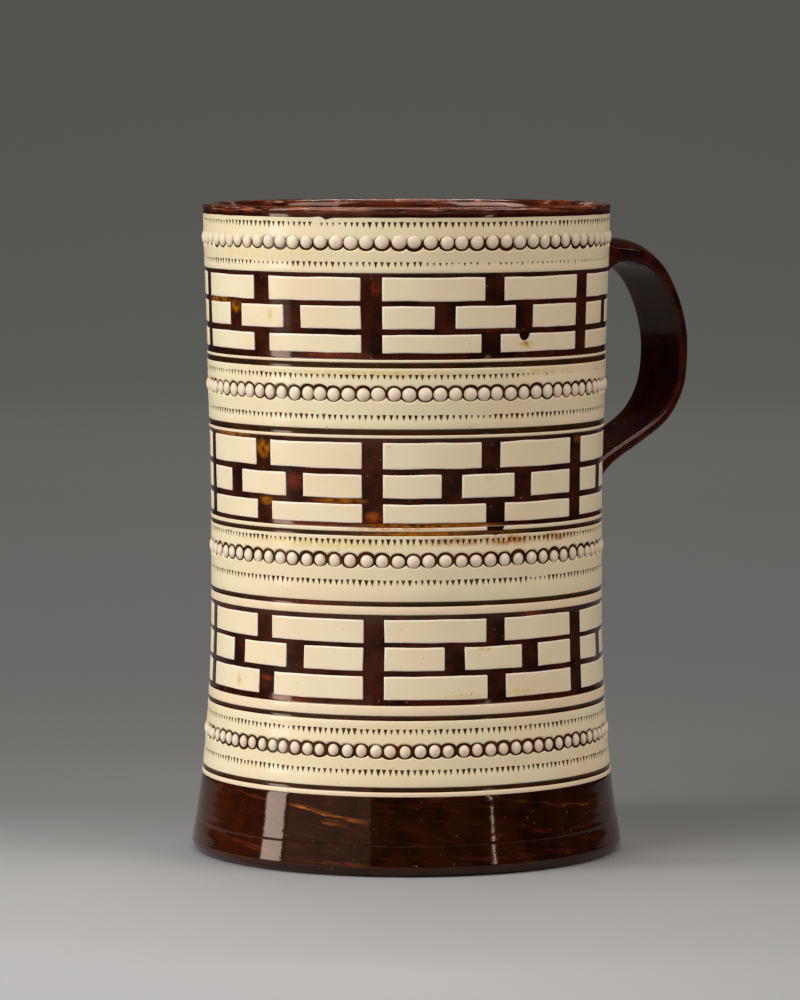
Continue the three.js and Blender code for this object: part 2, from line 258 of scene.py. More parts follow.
def remove(piece: Piece) -> None:
    """Remove an object and its mesh."""
    mesh = piece.data
    bpy.data.objects.remove(piece)
    bpy.data.meshes.remove(mesh)


def join(name: str, pieces: Sequence[Piece]) -> Piece:
    """Join several objects into one.

    Args:
        name: Name of the joined object.
        pieces: The objects to join.

    Returns:
        The joined object.
    """
    deselect_all()
    for piece in pieces:
        piece.select_set(True)
    bpy.context.view_layer.objects.active = pieces[0]
    bpy.ops.object.join()
    pieces[0].name = name
    pieces[0].data.name = name
    return pieces[0]


def carve(piece: Piece, cutter: Piece) -> None:
    """Cut a shape out of a piece, and remove the cutter.

    Args:
        piece: The closed mesh that is cut.
        cutter: Closed shapes that don't overlap each other.
    """
    activate(piece)
    cut = piece.modifiers.new("carving", "BOOLEAN")
    cut.operation = "DIFFERENCE"
    cut.solver = "MANIFOLD"
    cut.object = cutter
    bpy.ops.object.modifier_apply(modifier=cut.name)
    remove(cutter)


def waver(piece: Piece, pitch: float, sideways: float, outward: float) -> None:
    """Move a piece's vertices a little, as a hand-finished surface wavers.

    Args:
        piece: The piece to change.
        pitch: Distance from one waver to the next.
        sideways: Largest move along the wall and up or down.
        outward: Largest move out from the wall.
    """
    for vertex in piece.data.vertices:
        shift = noise.noise_vector(vertex.co / (pitch * MM))
        outwards = Vector((vertex.co.x, vertex.co.y, 0.0)).normalized()
        along = Vector((-outwards.y, outwards.x, 0.0))
        vertex.co += outwards * (shift.x * outward * MM)
        vertex.co += along * (shift.y * sideways * MM)
        vertex.co.z += shift.z * sideways * MM
    piece.data.update()


# Material helpers


def to_linear(hex_colour: str) -> Colour:
    """Turn an sRGB hex colour into linear values.

    Args:
        hex_colour: Six hex digits, with or without a leading #.

    Returns:
        Red, green, blue and an alpha of 1.
    """
    digits = hex_colour.lstrip("#")
    values = [int(digits[start:start + 2], 16) / 255.0 for start in (0, 2, 4)]
    linear = [v / 12.92 if v <= 0.04045 else ((v + 0.055) / 1.055) ** 2.4 for v in values]
    return (linear[0], linear[1], linear[2], 1.0)


def grain(place: Socket, pitch: float, detail: float) -> dict[int | str, object]:
    """Give the inputs of a noise texture from the real distance between its features."""
    return {"Vector": place, "Scale": 1.0 / (pitch * MM), "Detail": detail}


def add_node(
    tree: Tree,
    kind: str,
    inputs: dict[int | str, object] | None = None,
    stops: Sequence[tuple[float, float | str]] = (),
    **settings: object,
) -> Node:
    """Add a node with its settings, its values and its links.

    Args:
        tree: The node tree to add to.
        kind: The node's type, without the ShaderNode prefix.
        inputs: For each input socket, a value, the output socket that feeds it or a node, whose
            first output feeds it.
        stops: Place and tone of each stop of a colour ramp: a hex colour or a linear grey.
        settings: Properties of the node.

    Returns:
        The new node.
    """
    node = tree.nodes.new("ShaderNode" + kind)
    for name, value in settings.items():
        setattr(node, name, value)
    for key, value in (inputs or {}).items():
        value = value.outputs[0] if isinstance(value, Node) else value
        if isinstance(value, Socket):
            tree.links.new(value, node.inputs[key])
        else:
            node.inputs[key].default_value = value
    for index, (place, tone) in enumerate(stops):
        ramp = node.color_ramp.elements
        stop = ramp[index] if index < 2 else ramp.new(place)
        stop.position = place
        stop.color = to_linear(tone) if isinstance(tone, str) else (tone, tone, tone, 1.0)
    return node


def new_material(name: str) -> tuple[Material, Tree]:
    """Make a material with an empty node tree.

    Args:
        name: Name of the material.

    Returns:
        The material and its tree.
    """
    material = bpy.data.materials.new(name)
    material.use_nodes = True
    material.node_tree.nodes.clear()
    return material, material.node_tree


# The wall's shape, and the levels of what is turned in it


def stretch_at(stations: Sequence[float], level: float) -> int:
    """Give the number of the stretch between two stations that a level lies in."""
    return next((n for n, top in enumerate(stations[1:-1]) if level <= top), len(stations) - 2)


@dataclass(frozen=True)
class Wall:
    """The turned wall: a flared foot, a slight waist, a slight swell to the lip, and the hollow in it."""

    levels: tuple[float, ...] = (0.0, 9.05, 18.1, 35.4, 70.0, 152.0)
    radii: tuple[float, ...] = (50.87, 49.6, 48.34, 46.86, 46.05, 47.8)
    upright_stations: tuple[int, ...] = (0, 4)
    hollow_levels: tuple[float, ...] = (5.5, 35.4, 70.0, 152.0)
    hollow_radii: tuple[float, ...] = (40.5, 41.32, 42.29, 44.5)

    def slope(self, index: int) -> float:
        """Give the slope at a station: upright at the base and waist, else the mean beside it."""
        if index in self.upright_stations:
            return 0.0
        slopes = []
        for low in (index - 1, index):
            if low + 1 < len(self.levels):
                rise = self.levels[low + 1] - self.levels[low]
                slopes.append((self.radii[low + 1] - self.radii[low]) / rise)
        return sum(slopes) / len(slopes)

    def radius(self, level: float) -> float:
        """Give the radius of the wall's face at a level."""
        lower = stretch_at(self.levels, level)
        upper = lower + 1
        span = self.levels[upper] - self.levels[lower]
        t = min(max((level - self.levels[lower]) / span, 0.0), 1.0)
        rise = t * t * (3.0 - 2.0 * t)
        leave = t * (1.0 - t) * (1.0 - t)
        arrive = t * t * (t - 1.0)
        straight = self.radii[lower] * (1.0 - rise) + self.radii[upper] * rise
        return straight + span * (self.slope(lower) * leave + self.slope(upper) * arrive)

    def hollow_radius(self, level: float) -> float:
        """Give the radius of the hollow at a level, on straight lines between its stations."""
        lower = stretch_at(self.hollow_levels, level)
        low, high = self.hollow_levels[lower:lower + 2]
        share = (level - low) / (high - low)
        return self.hollow_radii[lower] * (1.0 - share) + self.hollow_radii[lower + 1] * share

    def hollow_slope(self) -> float:
        """Give how fast the hollow widens towards the lip."""
        rise = self.hollow_levels[-1] - self.hollow_levels[-2]
        return (self.hollow_radii[-1] - self.hollow_radii[-2]) / rise

    def seat(self, angle: float, level: float, depth: float = 0.0) -> Matrix:
        """Give the place of a mark on the wall.

        Args:
            angle: Plan angle in radians.
            level: Height above the table.
            depth: How far below the wall's face the place lies.

        Returns:
            A matrix whose X runs round the wall, Y points in to the axis and Z points up.
        """
        out = (self.radius(level) - depth) * MM
        place = Matrix.Translation((out * math.cos(angle), out * math.sin(angle), level * MM))
        return place @ Matrix.Rotation(angle + math.pi / 2.0, 4, "Z")


@dataclass(frozen=True)
class Bands:
    """Levels of the turned lines, the brick fields and the bead rows, read from the frame."""

    line_clearance: float = 0.16
    field_clearance: float = 0.12
    line_count: int = 6
    row_count: int = 4
    field_names: tuple[str, ...] = ("lower", "middle", "upper")

    @staticmethod
    def span(node: str, clearance: float) -> Point:
        """Give the bottom and top level of a node, widened by the clearance it has in its groove."""
        low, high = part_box(node)
        return (low.z / MM - clearance, high.z / MM + clearance)

    def lines(self) -> list[Point]:
        """Give the bottom and top of each slip line, from the foot up."""
        return [self.span(f"line_slip_{n + 1}", self.line_clearance) for n in range(self.line_count)]

    def fields(self) -> list[Point]:
        """Give the bottom and top of each brick field, from the foot up."""
        return [self.span(f"brick_slip_{name}", self.field_clearance) for name in self.field_names]

    def ridges(self) -> list[Point]:
        """Give the bottom and top of each thin ridge of clay between two grooves, from the foot up."""
        lines, fields = self.lines(), self.fields()
        ridges = [(self.foot_top(), lines[0][0])]
        for below, field, above in zip(lines[1::2], fields, lines[2::2] + [None]):
            ridges.append((below[1], field[0]))
            if above is not None:
                ridges.append((field[1], above[0]))
        return ridges

    def row_centres(self) -> list[float]:
        """Give the middle level of each bead row, from the foot up."""
        return [sum(self.span(f"bead_row_{n + 1}", 0.0)) / 2.0 for n in range(self.row_count)]

    def foot_top(self) -> float:
        """Give the level where the foot's slip ends."""
        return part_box("foot_slip")[1].z / MM

    def lip_top(self) -> float:
        """Give the level of the lip's crest."""
        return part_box("rim_slip")[1].z / MM


@dataclass(frozen=True)
class TickRow:
    """A row of small triangles that a toothed wheel pressed into the clay, fainter in some stretches."""

    row: int
    side: Side
    offset: float
    count: int
    strength: float = 1.0
    faint: tuple[Point, ...] = ()

    def level(self, centre: float) -> float:
        """Give the row's middle level from that of its bead row."""
        return centre + self.side.value * self.offset

    def force(self, degrees: float) -> float:
        """Give how hard the wheel was pressed at a plan angle from 0 to 360 degrees."""
        weak = any(start < degrees < end for start, end in self.faint)
        return self.strength * (0.35 if weak else 1.0)


@dataclass(frozen=True)
class BeadRow:
    """A row of applied beads, each in a dish that holds brown slip, shallower in some stretches."""

    count: int
    bead_width: float
    bead_height: float
    dish_width: float
    dish_height: float
    dish_shift: float
    shallow: Point = (0.0, 0.0)
    lift: float = 0.0


@dataclass(frozen=True)
class SlipRun:
    """A place where slip ran over an edge: its plan angle in degrees, level, half width and half height."""

    angle: float
    level: float
    half_width: float
    half_height: float


BEAD_ROWS = (
    BeadRow(89, 2.6, 2.84, 4.80, 3.66, 0.26, lift=-0.3),
    BeadRow(79, 2.84, 2.98, 4.60, 3.7, 0.24, lift=-0.1),
    BeadRow(84, 3.12, 3.2, 4.66, 3.84, 0.08),
    BeadRow(82, 3.26, 3.36, 4.44, 3.4, -0.55, (140.0, 192.0), 0.2),
)

TICK_ROWS = (
    TickRow(0, Side.BELOW, 4.79, 214),
    TickRow(0, Side.ABOVE, 4.35, 209, 1.05, ((196.5, 201.0),)),
    TickRow(1, Side.BELOW, 4.80, 203, 1.05, ((272.0, 280.0),)),
    TickRow(1, Side.ABOVE, 4.47, 202, 0.95, ((192.0, 198.0),)),
    TickRow(2, Side.BELOW, 5.13, 203, 1.0, ((253.0, 260.5),)),
    TickRow(2, Side.ABOVE, 4.07, 203, 0.85, ((268.0, 325.0),)),
    TickRow(3, Side.BELOW, 4.80, 205, 0.85, ((187.6, 201.0), (239.0, 325.0))),
    TickRow(3, Side.ABOVE, 4.17, 208, 1.0, ((208.0, 218.0),)),
)

# The joint below the middle field's right panel, and the middle joint of the upper field's right panel
RIDGE_RUN = SlipRun(-98.9, 79.2, 2.25, 1.85)
BRICK_RUN = SlipRun(-90.1, 123.5, 1.6, 1.9)


# Marks on the wall


def face_axis() -> None:
    """Turn the primitive in edit mode so that its poles point to the mug's axis."""
    bpy.ops.transform.rotate(value=math.pi / 2.0, orient_axis="X", center_override=(0.0, 0.0, 0.0))


def new_ball(name: str, segments: int) -> Piece:
    """Add a ball of one millimetre radius with its poles towards the axis.

    Args:
        name: Name of the ball.
        segments: Number of its segments.

    Returns:
        The ball, in edit mode.
    """
    deselect_all()
    bpy.ops.mesh.primitive_uv_sphere_add(segments=segments, ring_count=BALL_RINGS, radius=MM)
    ball = new_primitive(name)
    face_axis()
    return ball


def run_disc(name: str, wall: Wall, run: SlipRun, face: float, back: float) -> Piece:
    """Model the oval disc that a run of slip fills.

    Args:
        name: Name of the disc.
        wall: The wall's shape.
        run: The run's place and size.
        face: Depth of its outer side below the wall's face.
        back: Depth of its inner side below the wall's face.

    Returns:
        The disc, in its place.
    """
    deselect_all()
    bpy.ops.mesh.primitive_cylinder_add(vertices=40, radius=MM, depth=MM)
    disc = new_primitive(name)
    face_axis()
    close_edit()
    place = wall.seat(math.radians(run.angle), run.level, (face + back) / 2.0)
    disc.data.transform(place @ Matrix.Diagonal((run.half_width, back - face, run.half_height, 1.0)))
    return disc


def bead_angle(row: BeadRow, index: int) -> float:
    """Give the plan angle of a bead, with a small uneven spacing."""
    sway = noise.noise(Vector((index * 0.71, row.count * 1.3, 0.5)))
    return FULL_TURN * (index + 0.13 * sway) / row.count


# The clay body


@dataclass(frozen=True)
class ClayBody:
    """The thrown and turned wall and floor, with grooves, brick channels, bead dishes and ticks."""

    wall: Wall
    bands: Bands
    underside_radii: tuple[float, ...] = (0.0, 12.0, 24.0, 36.0)
    base_edge: float = 1.4
    coat_thickness: float = 0.8
    coat_levels: tuple[float, ...] = (4.0, 8.0, 12.0, 15.0)
    foot_ridge: tuple[Point, ...] = ((0.0, 0.8), (0.02, 0.2), (0.1, 0.05), (0.24, -0.02))
    groove_depth: float = 0.6
    channel_depth: float = 1.3
    soft_edge: tuple[Point, ...] = ((-0.22, 0.0), (-0.12, 0.025), (-0.04, 0.09), (0.0, 0.2))
    side_slope: float = 0.02
    bead_swell: tuple[Point, ...] = ((-2.7, 0.0), (-2.3, -0.03), (2.3, -0.03), (2.7, 0.0))
    tick_hollow: tuple[Point, ...] = ((-1.0, 0.0), (-0.7, 0.04), (0.7, 0.04), (1.0, 0.0))
    lip_seat: float = 2.3
    lip_shelf: float = 1.6
    lip_margin: float = 0.9
    ring_pitch: float = 12.8
    ring_height: float = 0.07
    ring_step: float = 3.2
    floor_level: float = 5.5
    floor_corner: float = 9.0
    corner_steps: int = 8
    floor_steps: int = 8
    dish_depth: float = 0.8
    dish_rise: float = 0.5
    moat_depth: float = 0.2
    shallow_share: float = 0.93
    tick_depth: float = 0.34
    least_tick_depth: float = 0.06
    tick_clear: float = 0.2
    run_depth: float = 0.9
    seed: int = 20

    def sunk(self, level: float, depth: float) -> Point:
        """Give a point of the outline at a depth below the wall's face."""
        return (self.wall.radius(level) - depth, level)

    def groove(self, bottom: float, top: float, depth: float) -> list[tuple[float, list[Point]]]:
        """Give the level and the points of both soft edges where the wall drops into a groove."""
        steps = (*self.soft_edge, (self.side_slope, depth))
        return [(bottom, [self.sunk(bottom + rise, down) for rise, down in steps]),
                (top, [self.sunk(top - rise, down) for rise, down in reversed(steps)])]

    def outer_outline(self) -> list[Point]:
        """Give the outside of the wall from the foot's slip to the lip's, with slight swells and hollows."""
        relief = []
        for row, centre in enumerate(self.bands.row_centres()):
            relief += [(centre + rise, depth) for rise, depth in self.bead_swell]
            for middle in (ticks.level(centre) for ticks in TICK_ROWS if ticks.row == row):
                relief += [(middle + rise, depth) for rise, depth in self.tick_hollow]
        stretches = [(level, [self.sunk(level, depth)]) for level, depth in relief]
        for bottom, top in self.bands.lines():
            stretches += self.groove(bottom, top, self.groove_depth)
        for bottom, top in self.bands.fields():
            stretches += self.groove(bottom, top, self.channel_depth)
        stretches.sort(key=lambda stretch: stretch[0])
        foot = self.bands.foot_top()
        ridge = [self.sunk(foot + rise, down) for rise, down in self.foot_ridge]
        return ridge + [point for _, points in stretches for point in points]

    def outline(self) -> list[Point]:
        """Give the whole outline, from the middle of the underside round to the middle of the floor."""
        foot, lip = self.bands.foot_top(), self.bands.lip_top()
        base, coat = self.wall.radius(0.0), self.coat_thickness
        points = [(radius, 0.0) for radius in (*self.underside_radii, base - self.base_edge - coat)]
        points.append((base - coat, self.base_edge))
        points += [self.sunk(level, coat) for level in (*self.coat_levels, foot - 0.05)]
        points += self.outer_outline()
        points += [self.sunk(lip - self.lip_seat, 0.0), self.sunk(lip - self.lip_shelf, self.lip_margin),
                   self.sunk(lip - self.lip_margin, 1.5),
                   (self.wall.hollow_radius(lip) + 1.0, lip - self.lip_margin)]
        return points + self.inner_outline(lip - self.lip_shelf)

    def inner_outline(self, top: float) -> list[Point]:
        """Give the inside of the wall and the floor, with faint throwing rings.

        Args:
            top: Level where the inside begins.

        Returns:
            Points from the lip down to the middle of the floor.
        """
        points = []
        level = top
        corner_top = self.floor_level + self.floor_corner
        while level > corner_top + self.ring_step:
            ring = self.ring_height * math.sin(FULL_TURN * level / self.ring_pitch)
            points.append((self.wall.hollow_radius(level) + ring, level))
            level -= self.ring_step
        side = self.wall.hollow_radius(corner_top)
        for step in range(self.corner_steps + 1):
            bend = math.pi / 2.0 * step / self.corner_steps
            points.append((side - self.floor_corner * (1.0 - math.cos(bend)),
                           corner_top - self.floor_corner * math.sin(bend)))
        floor_edge = side - self.floor_corner
        for step in range(1, self.floor_steps + 1):
            lift = self.ring_height * (1.0 + math.cos(math.pi * step)) / 2.0
            points.append((floor_edge * (1.0 - step / self.floor_steps), self.floor_level + lift))
        return points

    def dish_shape(self) -> Piece:
        """Model the rounded cutter that makes one bead's dish."""
        dish = new_ball("dish", 22)
        close_edit()
        return dish

    def tick_shape(self) -> Piece:
        """Model the tapered cutter that makes one tick: a triangle with its point down."""
        deselect_all()
        bpy.ops.mesh.primitive_cone_add(vertices=3, radius1=1.15 * MM, radius2=0.72 * MM, depth=MM,
                                        rotation=(-math.pi / 2.0, 0.0, 0.0))
        tick = bpy.context.active_object
        bpy.ops.object.transform_apply(location=False, rotation=True, scale=False)
        return tick

    def dish_places(self, rng: random.Random) -> list[list[Matrix]]:
        """Give each dish's place, in three lists of dishes that don't touch each other.

        Args:
            rng: Source of the small differences between dishes.

        Returns:
            Even dishes, odd dishes, and the last dish of each row of odd count.
        """
        passes: list[list[Matrix]] = [[], [], []]
        drop = self.dish_depth + self.dish_rise
        brown = math.sqrt(1.0 - ((self.dish_rise + self.moat_depth) / drop) ** 2)
        for centre, row in zip(self.bands.row_centres(), BEAD_ROWS):
            for index in range(row.count):
                size = rng.uniform(0.96, 1.04)
                level = centre + row.lift + row.dish_shift + rng.uniform(-0.12, 0.12)
                depth = drop + rng.uniform(-0.14, 0.05)
                shy = row.shallow[0] < 360.0 * index / row.count < row.shallow[1]
                scale = [value * (self.shallow_share if shy else 1.0) for value in (
                    row.dish_width / 2.0 / brown * size, depth, row.dish_height / 2.0 / brown * size)]
                place = self.wall.seat(bead_angle(row, index), level, -self.dish_rise)
                last_odd = row.count % 2 == 1 and index == row.count - 1
                passes[2 if last_odd else index % 2].append(place @ Matrix.Diagonal((*scale, 1.0)))
        return passes

    def tick_places(self, rng: random.Random) -> list[Matrix]:
        """Give each tick's place, with strong and faint stretches round every row.

        Args:
            rng: Source of the small differences between ticks.

        Returns:
            The ticks' places.
        """
        places = []
        centres = self.bands.row_centres()
        for number, ticks in enumerate(TICK_ROWS):
            level = ticks.level(centres[ticks.row])
            for index in range(ticks.count):
                angle = FULL_TURN * index / ticks.count
                sway = noise.noise(Vector((3.0 * math.cos(angle), 3.0 * math.sin(angle), 7.0 * number)))
                force = ticks.force(math.degrees(angle)) * (0.95 + 0.5 * sway) * rng.uniform(0.72, 1.12)
                depth = max(self.tick_depth * force, self.least_tick_depth)
                length = depth + self.tick_clear
                size = 0.45 + 0.33 * min(force, 1.1)
                scale = (0.8 * size * rng.uniform(0.85, 1.15), length, 1.36 * size * rng.uniform(0.9, 1.1))
                turned = angle + math.radians(rng.uniform(-0.12, 0.12))
                place = self.wall.seat(turned, level + rng.uniform(-0.06, 0.06), depth - length / 2.0)
                places.append(place @ Matrix.Diagonal((*scale, 1.0)))
        return places

    def build(self) -> Piece:
        """Turn the body and carve its dishes and ticks.

        Returns:
            The finished body.
        """
        body = turn("glazed_body", self.outline())
        rng = random.Random(self.seed)
        even, odd, last = self.dish_places(rng)
        ticks = scatter("tick_cutter", self.tick_shape(), self.tick_places(rng))
        carve(body, join("first_cutter", [scatter("even_cutter", self.dish_shape(), even), ticks]))
        carve(body, scatter("odd_cutter", self.dish_shape(), odd))
        carve(body, scatter("last_cutter", self.dish_shape(), last))
        carve(body, run_disc("run_cutter", self.wall, RIDGE_RUN, -self.run_depth, self.run_depth))
        shade_smooth(body)
        return body


@dataclass(frozen=True)
class BeadString:
    """The rows of white clay beads, and the brown slip that stays in their dishes."""

    wall: Wall
    bands: Bands
    bead_base: float = 0.5
    bead_rise: float = 0.44
    bead_spread: float = 1.05
    bead_cut: float = 0.13
    moat_face: float = 0.2
    moat_back: float = 1.4
    moat_reach: float = 2.7
    tick_face: float = 0.07
    tick_back: float = 0.5
    tick_reach: float = 0.95
    seed: int = 41

    def bead_shape(self) -> Piece:
        """Model one bead: a ball cut flat where it is seated, marked towards its seat, where the slip creeps
        up it and its material paints shade.
        """
        bead = new_ball("bead", 16)
        bpy.ops.mesh.bisect(plane_co=(0.0, self.bead_cut * MM, 0.0), plane_no=(0.0, 1.0, 0.0),
                            use_fill=True, clear_outer=True)
        close_edit()
        # The seat mark grows towards the bead's base, where the material paints gathered slip and shade.
        store(bead, "seat", [min(max(v.co.y / MM / 0.75 + 1.07, 0.0), 1.0) for v in bead.data.vertices])
        return bead

    def beads(self, index: int) -> Piece:
        """Seat one row of beads.

        Args:
            index: Number of the row, from the foot up.

        Returns:
            The row's beads as one mesh.
        """
        row = BEAD_ROWS[index]
        rng = random.Random(self.seed + index)
        places = []
        for bead in range(row.count):
            width = row.bead_width / 2.0 * self.bead_spread * rng.uniform(0.94, 1.05)
            height = row.bead_height / 2.0 * self.bead_spread * rng.uniform(0.95, 1.04)
            out = (self.bead_rise + self.bead_base) * rng.uniform(0.9, 1.02)
            level = self.bands.row_centres()[index] + row.lift + rng.uniform(-0.1, 0.1)
            place = self.wall.seat(bead_angle(row, bead), level, self.bead_base)
            tilt = Matrix.Rotation(math.radians(rng.uniform(-20.0, 20.0)), 4, "Y")
            places.append(place @ Matrix.Diagonal((width, out, height, 1.0)) @ tilt)
        piece = scatter(f"beads_{index + 1}", self.bead_shape(), places)
        waver(piece, 1.6, 0.05, 0.04)
        shade_smooth(piece, 60.0)
        return piece

    def hidden_ring(self, name: str, level: float, reach: float, face: float, back: float) -> Piece:
        """Turn a thin ring of slip that shows only where the clay is carved down to it.

        Args:
            name: Name of the ring.
            level: Middle level of the ring.
            reach: Half its height.
            face: Depth of its face below the wall's.
            back: Depth of its back below the wall's face.

        Returns:
            The ring.
        """
        low, high = level - reach, level + reach
        corners = ((low, back), (low, face), (level, face), (high, face), (high, back), (low, back))
        ring = turn(name, [(self.wall.radius(at) - depth, at) for at, depth in corners])
        shade_smooth(ring)
        return ring

    def moats(self) -> list[Piece]:
        """Make the slip ring of each bead row's dishes."""
        return [self.hidden_ring(f"moat_slip_{n + 1}", level, self.moat_reach, self.moat_face, self.moat_back)
                for n, level in enumerate(self.bands.row_centres())]

    def tick_slip(self) -> Piece:
        """Make the slip that stays in the ticks, one ring to each row of them."""
        centres = self.bands.row_centres()
        levels = [ticks.level(centres[ticks.row]) for ticks in TICK_ROWS]
        return join("tick_slip", [
            self.hidden_ring(f"tick_ring_{n}", level, self.tick_reach, self.tick_face, self.tick_back)
            for n, level in enumerate(levels)])


# Brickwork


@dataclass(frozen=True)
class Panel:
    """A panel of bricks: plan angles in degrees of its upright, and of the joints up to the next one."""

    upright: float
    lowest: float
    middle: Point
    top: float

    def joints(self) -> tuple[tuple[float, ...], ...]:
        """Give the joints of each course, from the foot up."""
        return ((self.lowest,), self.middle, (self.top,))


@dataclass(frozen=True)
class FieldPlan:
    """A field as it was marked out: its courses, its two front panels, and the upright that ends them."""

    name: str
    courses: tuple[Point, Point, Point]
    front: tuple[Panel, Panel]
    last_upright: float
    hidden_count: int = 3
    joint_shares: tuple[float, float, float, float] = (0.482, 0.24, 0.6, 0.497)

    def hidden_width(self) -> float:
        """Give the degrees that each panel at the back takes up."""
        return (self.front[0].upright + 360.0 - self.last_upright) / self.hidden_count

    def hidden_panel(self) -> Panel:
        """Give the first panel at the back, which the others there repeat."""
        width = self.hidden_width()
        lowest, left, right, top = (self.last_upright + share * width for share in self.joint_shares)
        return Panel(self.last_upright, lowest, (left, right), top)


FIELD_PLANS = (
    FieldPlan("lower", ((40.12, 45.49), (46.70, 52.08), (53.08, 58.39)), (
        Panel(-202.0, -169.1, (-182.0, -158.7), -170.3),
        Panel(-134.4, -98.6, (-111.3, -87.1), -98.8)), -67.1),
    FieldPlan("middle", ((80.39, 84.72), (86.04, 91.45), (92.74, 98.74)), (
        Panel(-202.0, -170.2, (-183.3, -158.9), -170.5),
        Panel(-134.8, -98.9, (-112.1, -89.7), -100.4)), -67.4),
    FieldPlan("upper", ((119.03, 123.19), (124.48, 129.68), (130.79, 136.21)), (
        Panel(-202.3, -170.1, (-181.8, -158.9), -169.9),
        Panel(-134.8, -100.8, (-114.3, -90.2), -99.9)), -66.2),
)


@dataclass(frozen=True)
class BrickField:
    """One field of relief bricks, with the slip that is let in round them.

    The plan gives its courses, uprights and joints, and the span its bottom and top level.
    """

    wall: Wall
    plan: FieldPlan
    span: Point
    upright_half: float = 3.0
    joint_half: float = 2.95
    face_inset: float = 0.1
    back_inset: float = 1.1
    slip_inset: float = 0.28
    slip_back: float = 1.35
    slip_edge: tuple[Point, ...] = ((0.0, 0.15), (0.08, 0.21), (0.2, 0.25), (0.4, 0.28))
    slip_rows: int = 8
    corner: float = 0.26
    edge_fade: float = 0.4
    cut_step: float = 2.0
    meniscus: tuple[Point, ...] = ((0.2, 0.02), (0.12, 0.04), (0.08, 0.07))
    run_depth: float = 0.7

    def block(self, name: str, width: float, height: float, face: float, back: float) -> Piece:
        """Model a flat block in edit mode: X along the wall, Y in from the wall's face, Z up.

        Args:
            name: Name of the block.
            width: Its width along the wall.
            height: Its height.
            face: Depth of its outer side.
            back: Depth of its inner side.

        Returns:
            The block, with its outer side selected.
        """
        deselect_all()
        bpy.ops.mesh.primitive_cube_add(size=MM)
        block = new_primitive(name)
        bpy.ops.transform.resize(value=(width, back - face, height))
        bpy.ops.transform.translate(value=(0.0, (face + back) / 2.0 * MM, 0.0))
        select_faces(block, lambda middle, normal: normal.y < -0.5)
        return block

    def roll(self, piece: Piece, width: float, level: float, start: float, end: float) -> None:
        """Cut a flat block across every so often, and roll it onto the wall.

        Args:
            piece: The block, in edit mode.
            width: Its width along the wall.
            level: Its middle level.
            start: Plan angle of its one end, in degrees.
            end: Plan angle of its other end, in degrees.
        """
        cuts = max(int(width / self.cut_step), 1)
        for cut in range(1, cuts):
            bpy.ops.mesh.select_all(action="SELECT")
            place = (cut / cuts - 0.5) * width * MM
            bpy.ops.mesh.bisect(plane_co=(place, 0.0, 0.0), plane_no=(1.0, 0.0, 0.0))
        close_edit()
        round_wall = self.wall.radius(level)
        middle = math.radians((start + end) / 2.0)
        for vertex in piece.data.vertices:
            here = level + vertex.co.z / MM
            angle = middle + vertex.co.x / MM / round_wall
            out = self.wall.radius(here) * MM - vertex.co.y
            vertex.co = (out * math.cos(angle), out * math.sin(angle), here * MM)

    def brick(self, bottom: float, top: float, start: float, end: float) -> Piece:
        """Model one brick with soft edges, marked where the glaze has drawn off them.

        Args:
            bottom: Level of its lower side.
            top: Level of its upper side.
            start: Plan angle of its one end, in degrees.
            end: Plan angle of its other end, in degrees.

        Returns:
            The brick, in its place.
        """
        level = (bottom + top) / 2.0
        width = math.radians(end - start) * self.wall.radius(level)
        height = top - bottom
        brick = self.block("brick", width, height, self.face_inset, self.back_inset)
        select_edges(brick, lambda a, b: min(a.y, b.y) < self.slip_inset * MM)
        bpy.ops.mesh.bevel(offset=self.corner * MM, segments=3, affect="EDGES")
        select_faces(brick, lambda middle, normal: normal.y < -0.99)
        bpy.ops.mesh.inset(thickness=self.edge_fade * MM)
        close_edit()
        inner = self.corner + self.edge_fade * 0.5
        edges = [min(width / 2.0 - abs(v.co.x) / MM, height / 2.0 - abs(v.co.z) / MM) < inner
                 for v in brick.data.vertices]
        store(brick, "edge", [float(edge) for edge in edges])
        bpy.ops.object.mode_set(mode="EDIT")
        self.roll(brick, width, level, start, end)
        return brick

    def pad(self, bottom: float, top: float, start: float, end: float) -> Piece:
        """Model the slip that creeps up one brick's sides.

        Args:
            bottom: Level of the brick's lower side.
            top: Level of the brick's upper side.
            start: Plan angle of the brick's one end, in degrees.
            end: Plan angle of the brick's other end, in degrees.

        Returns:
            The pad of slip, in its place.
        """
        level = (bottom + top) / 2.0
        reach = sum(inward for inward, _ in self.meniscus)
        width = math.radians(end - start) * self.wall.radius(level) + 2.0 * reach
        pad = self.block("pad", width, top - bottom + 2.0 * reach, self.slip_inset + 0.01, self.slip_back)
        for inward, rise in self.meniscus:
            bpy.ops.mesh.inset(thickness=inward * MM)
            bpy.ops.transform.translate(value=(0.0, -rise * MM, 0.0))
        self.roll(pad, width, level, start, end)
        return pad

    def spans(self, panel: Panel, next_upright: float) -> list[tuple[float, float, float, float]]:
        """Give the bottom, top, start and end of each brick of a panel."""
        found = []
        for (bottom, top), joints in zip(self.plan.courses, panel.joints()):
            starts = [panel.upright + self.upright_half] + [joint + self.joint_half for joint in joints]
            ends = [joint - self.joint_half for joint in joints] + [next_upright - self.upright_half]
            found += [(bottom, top, start, end) for start, end in zip(starts, ends)]
        return found

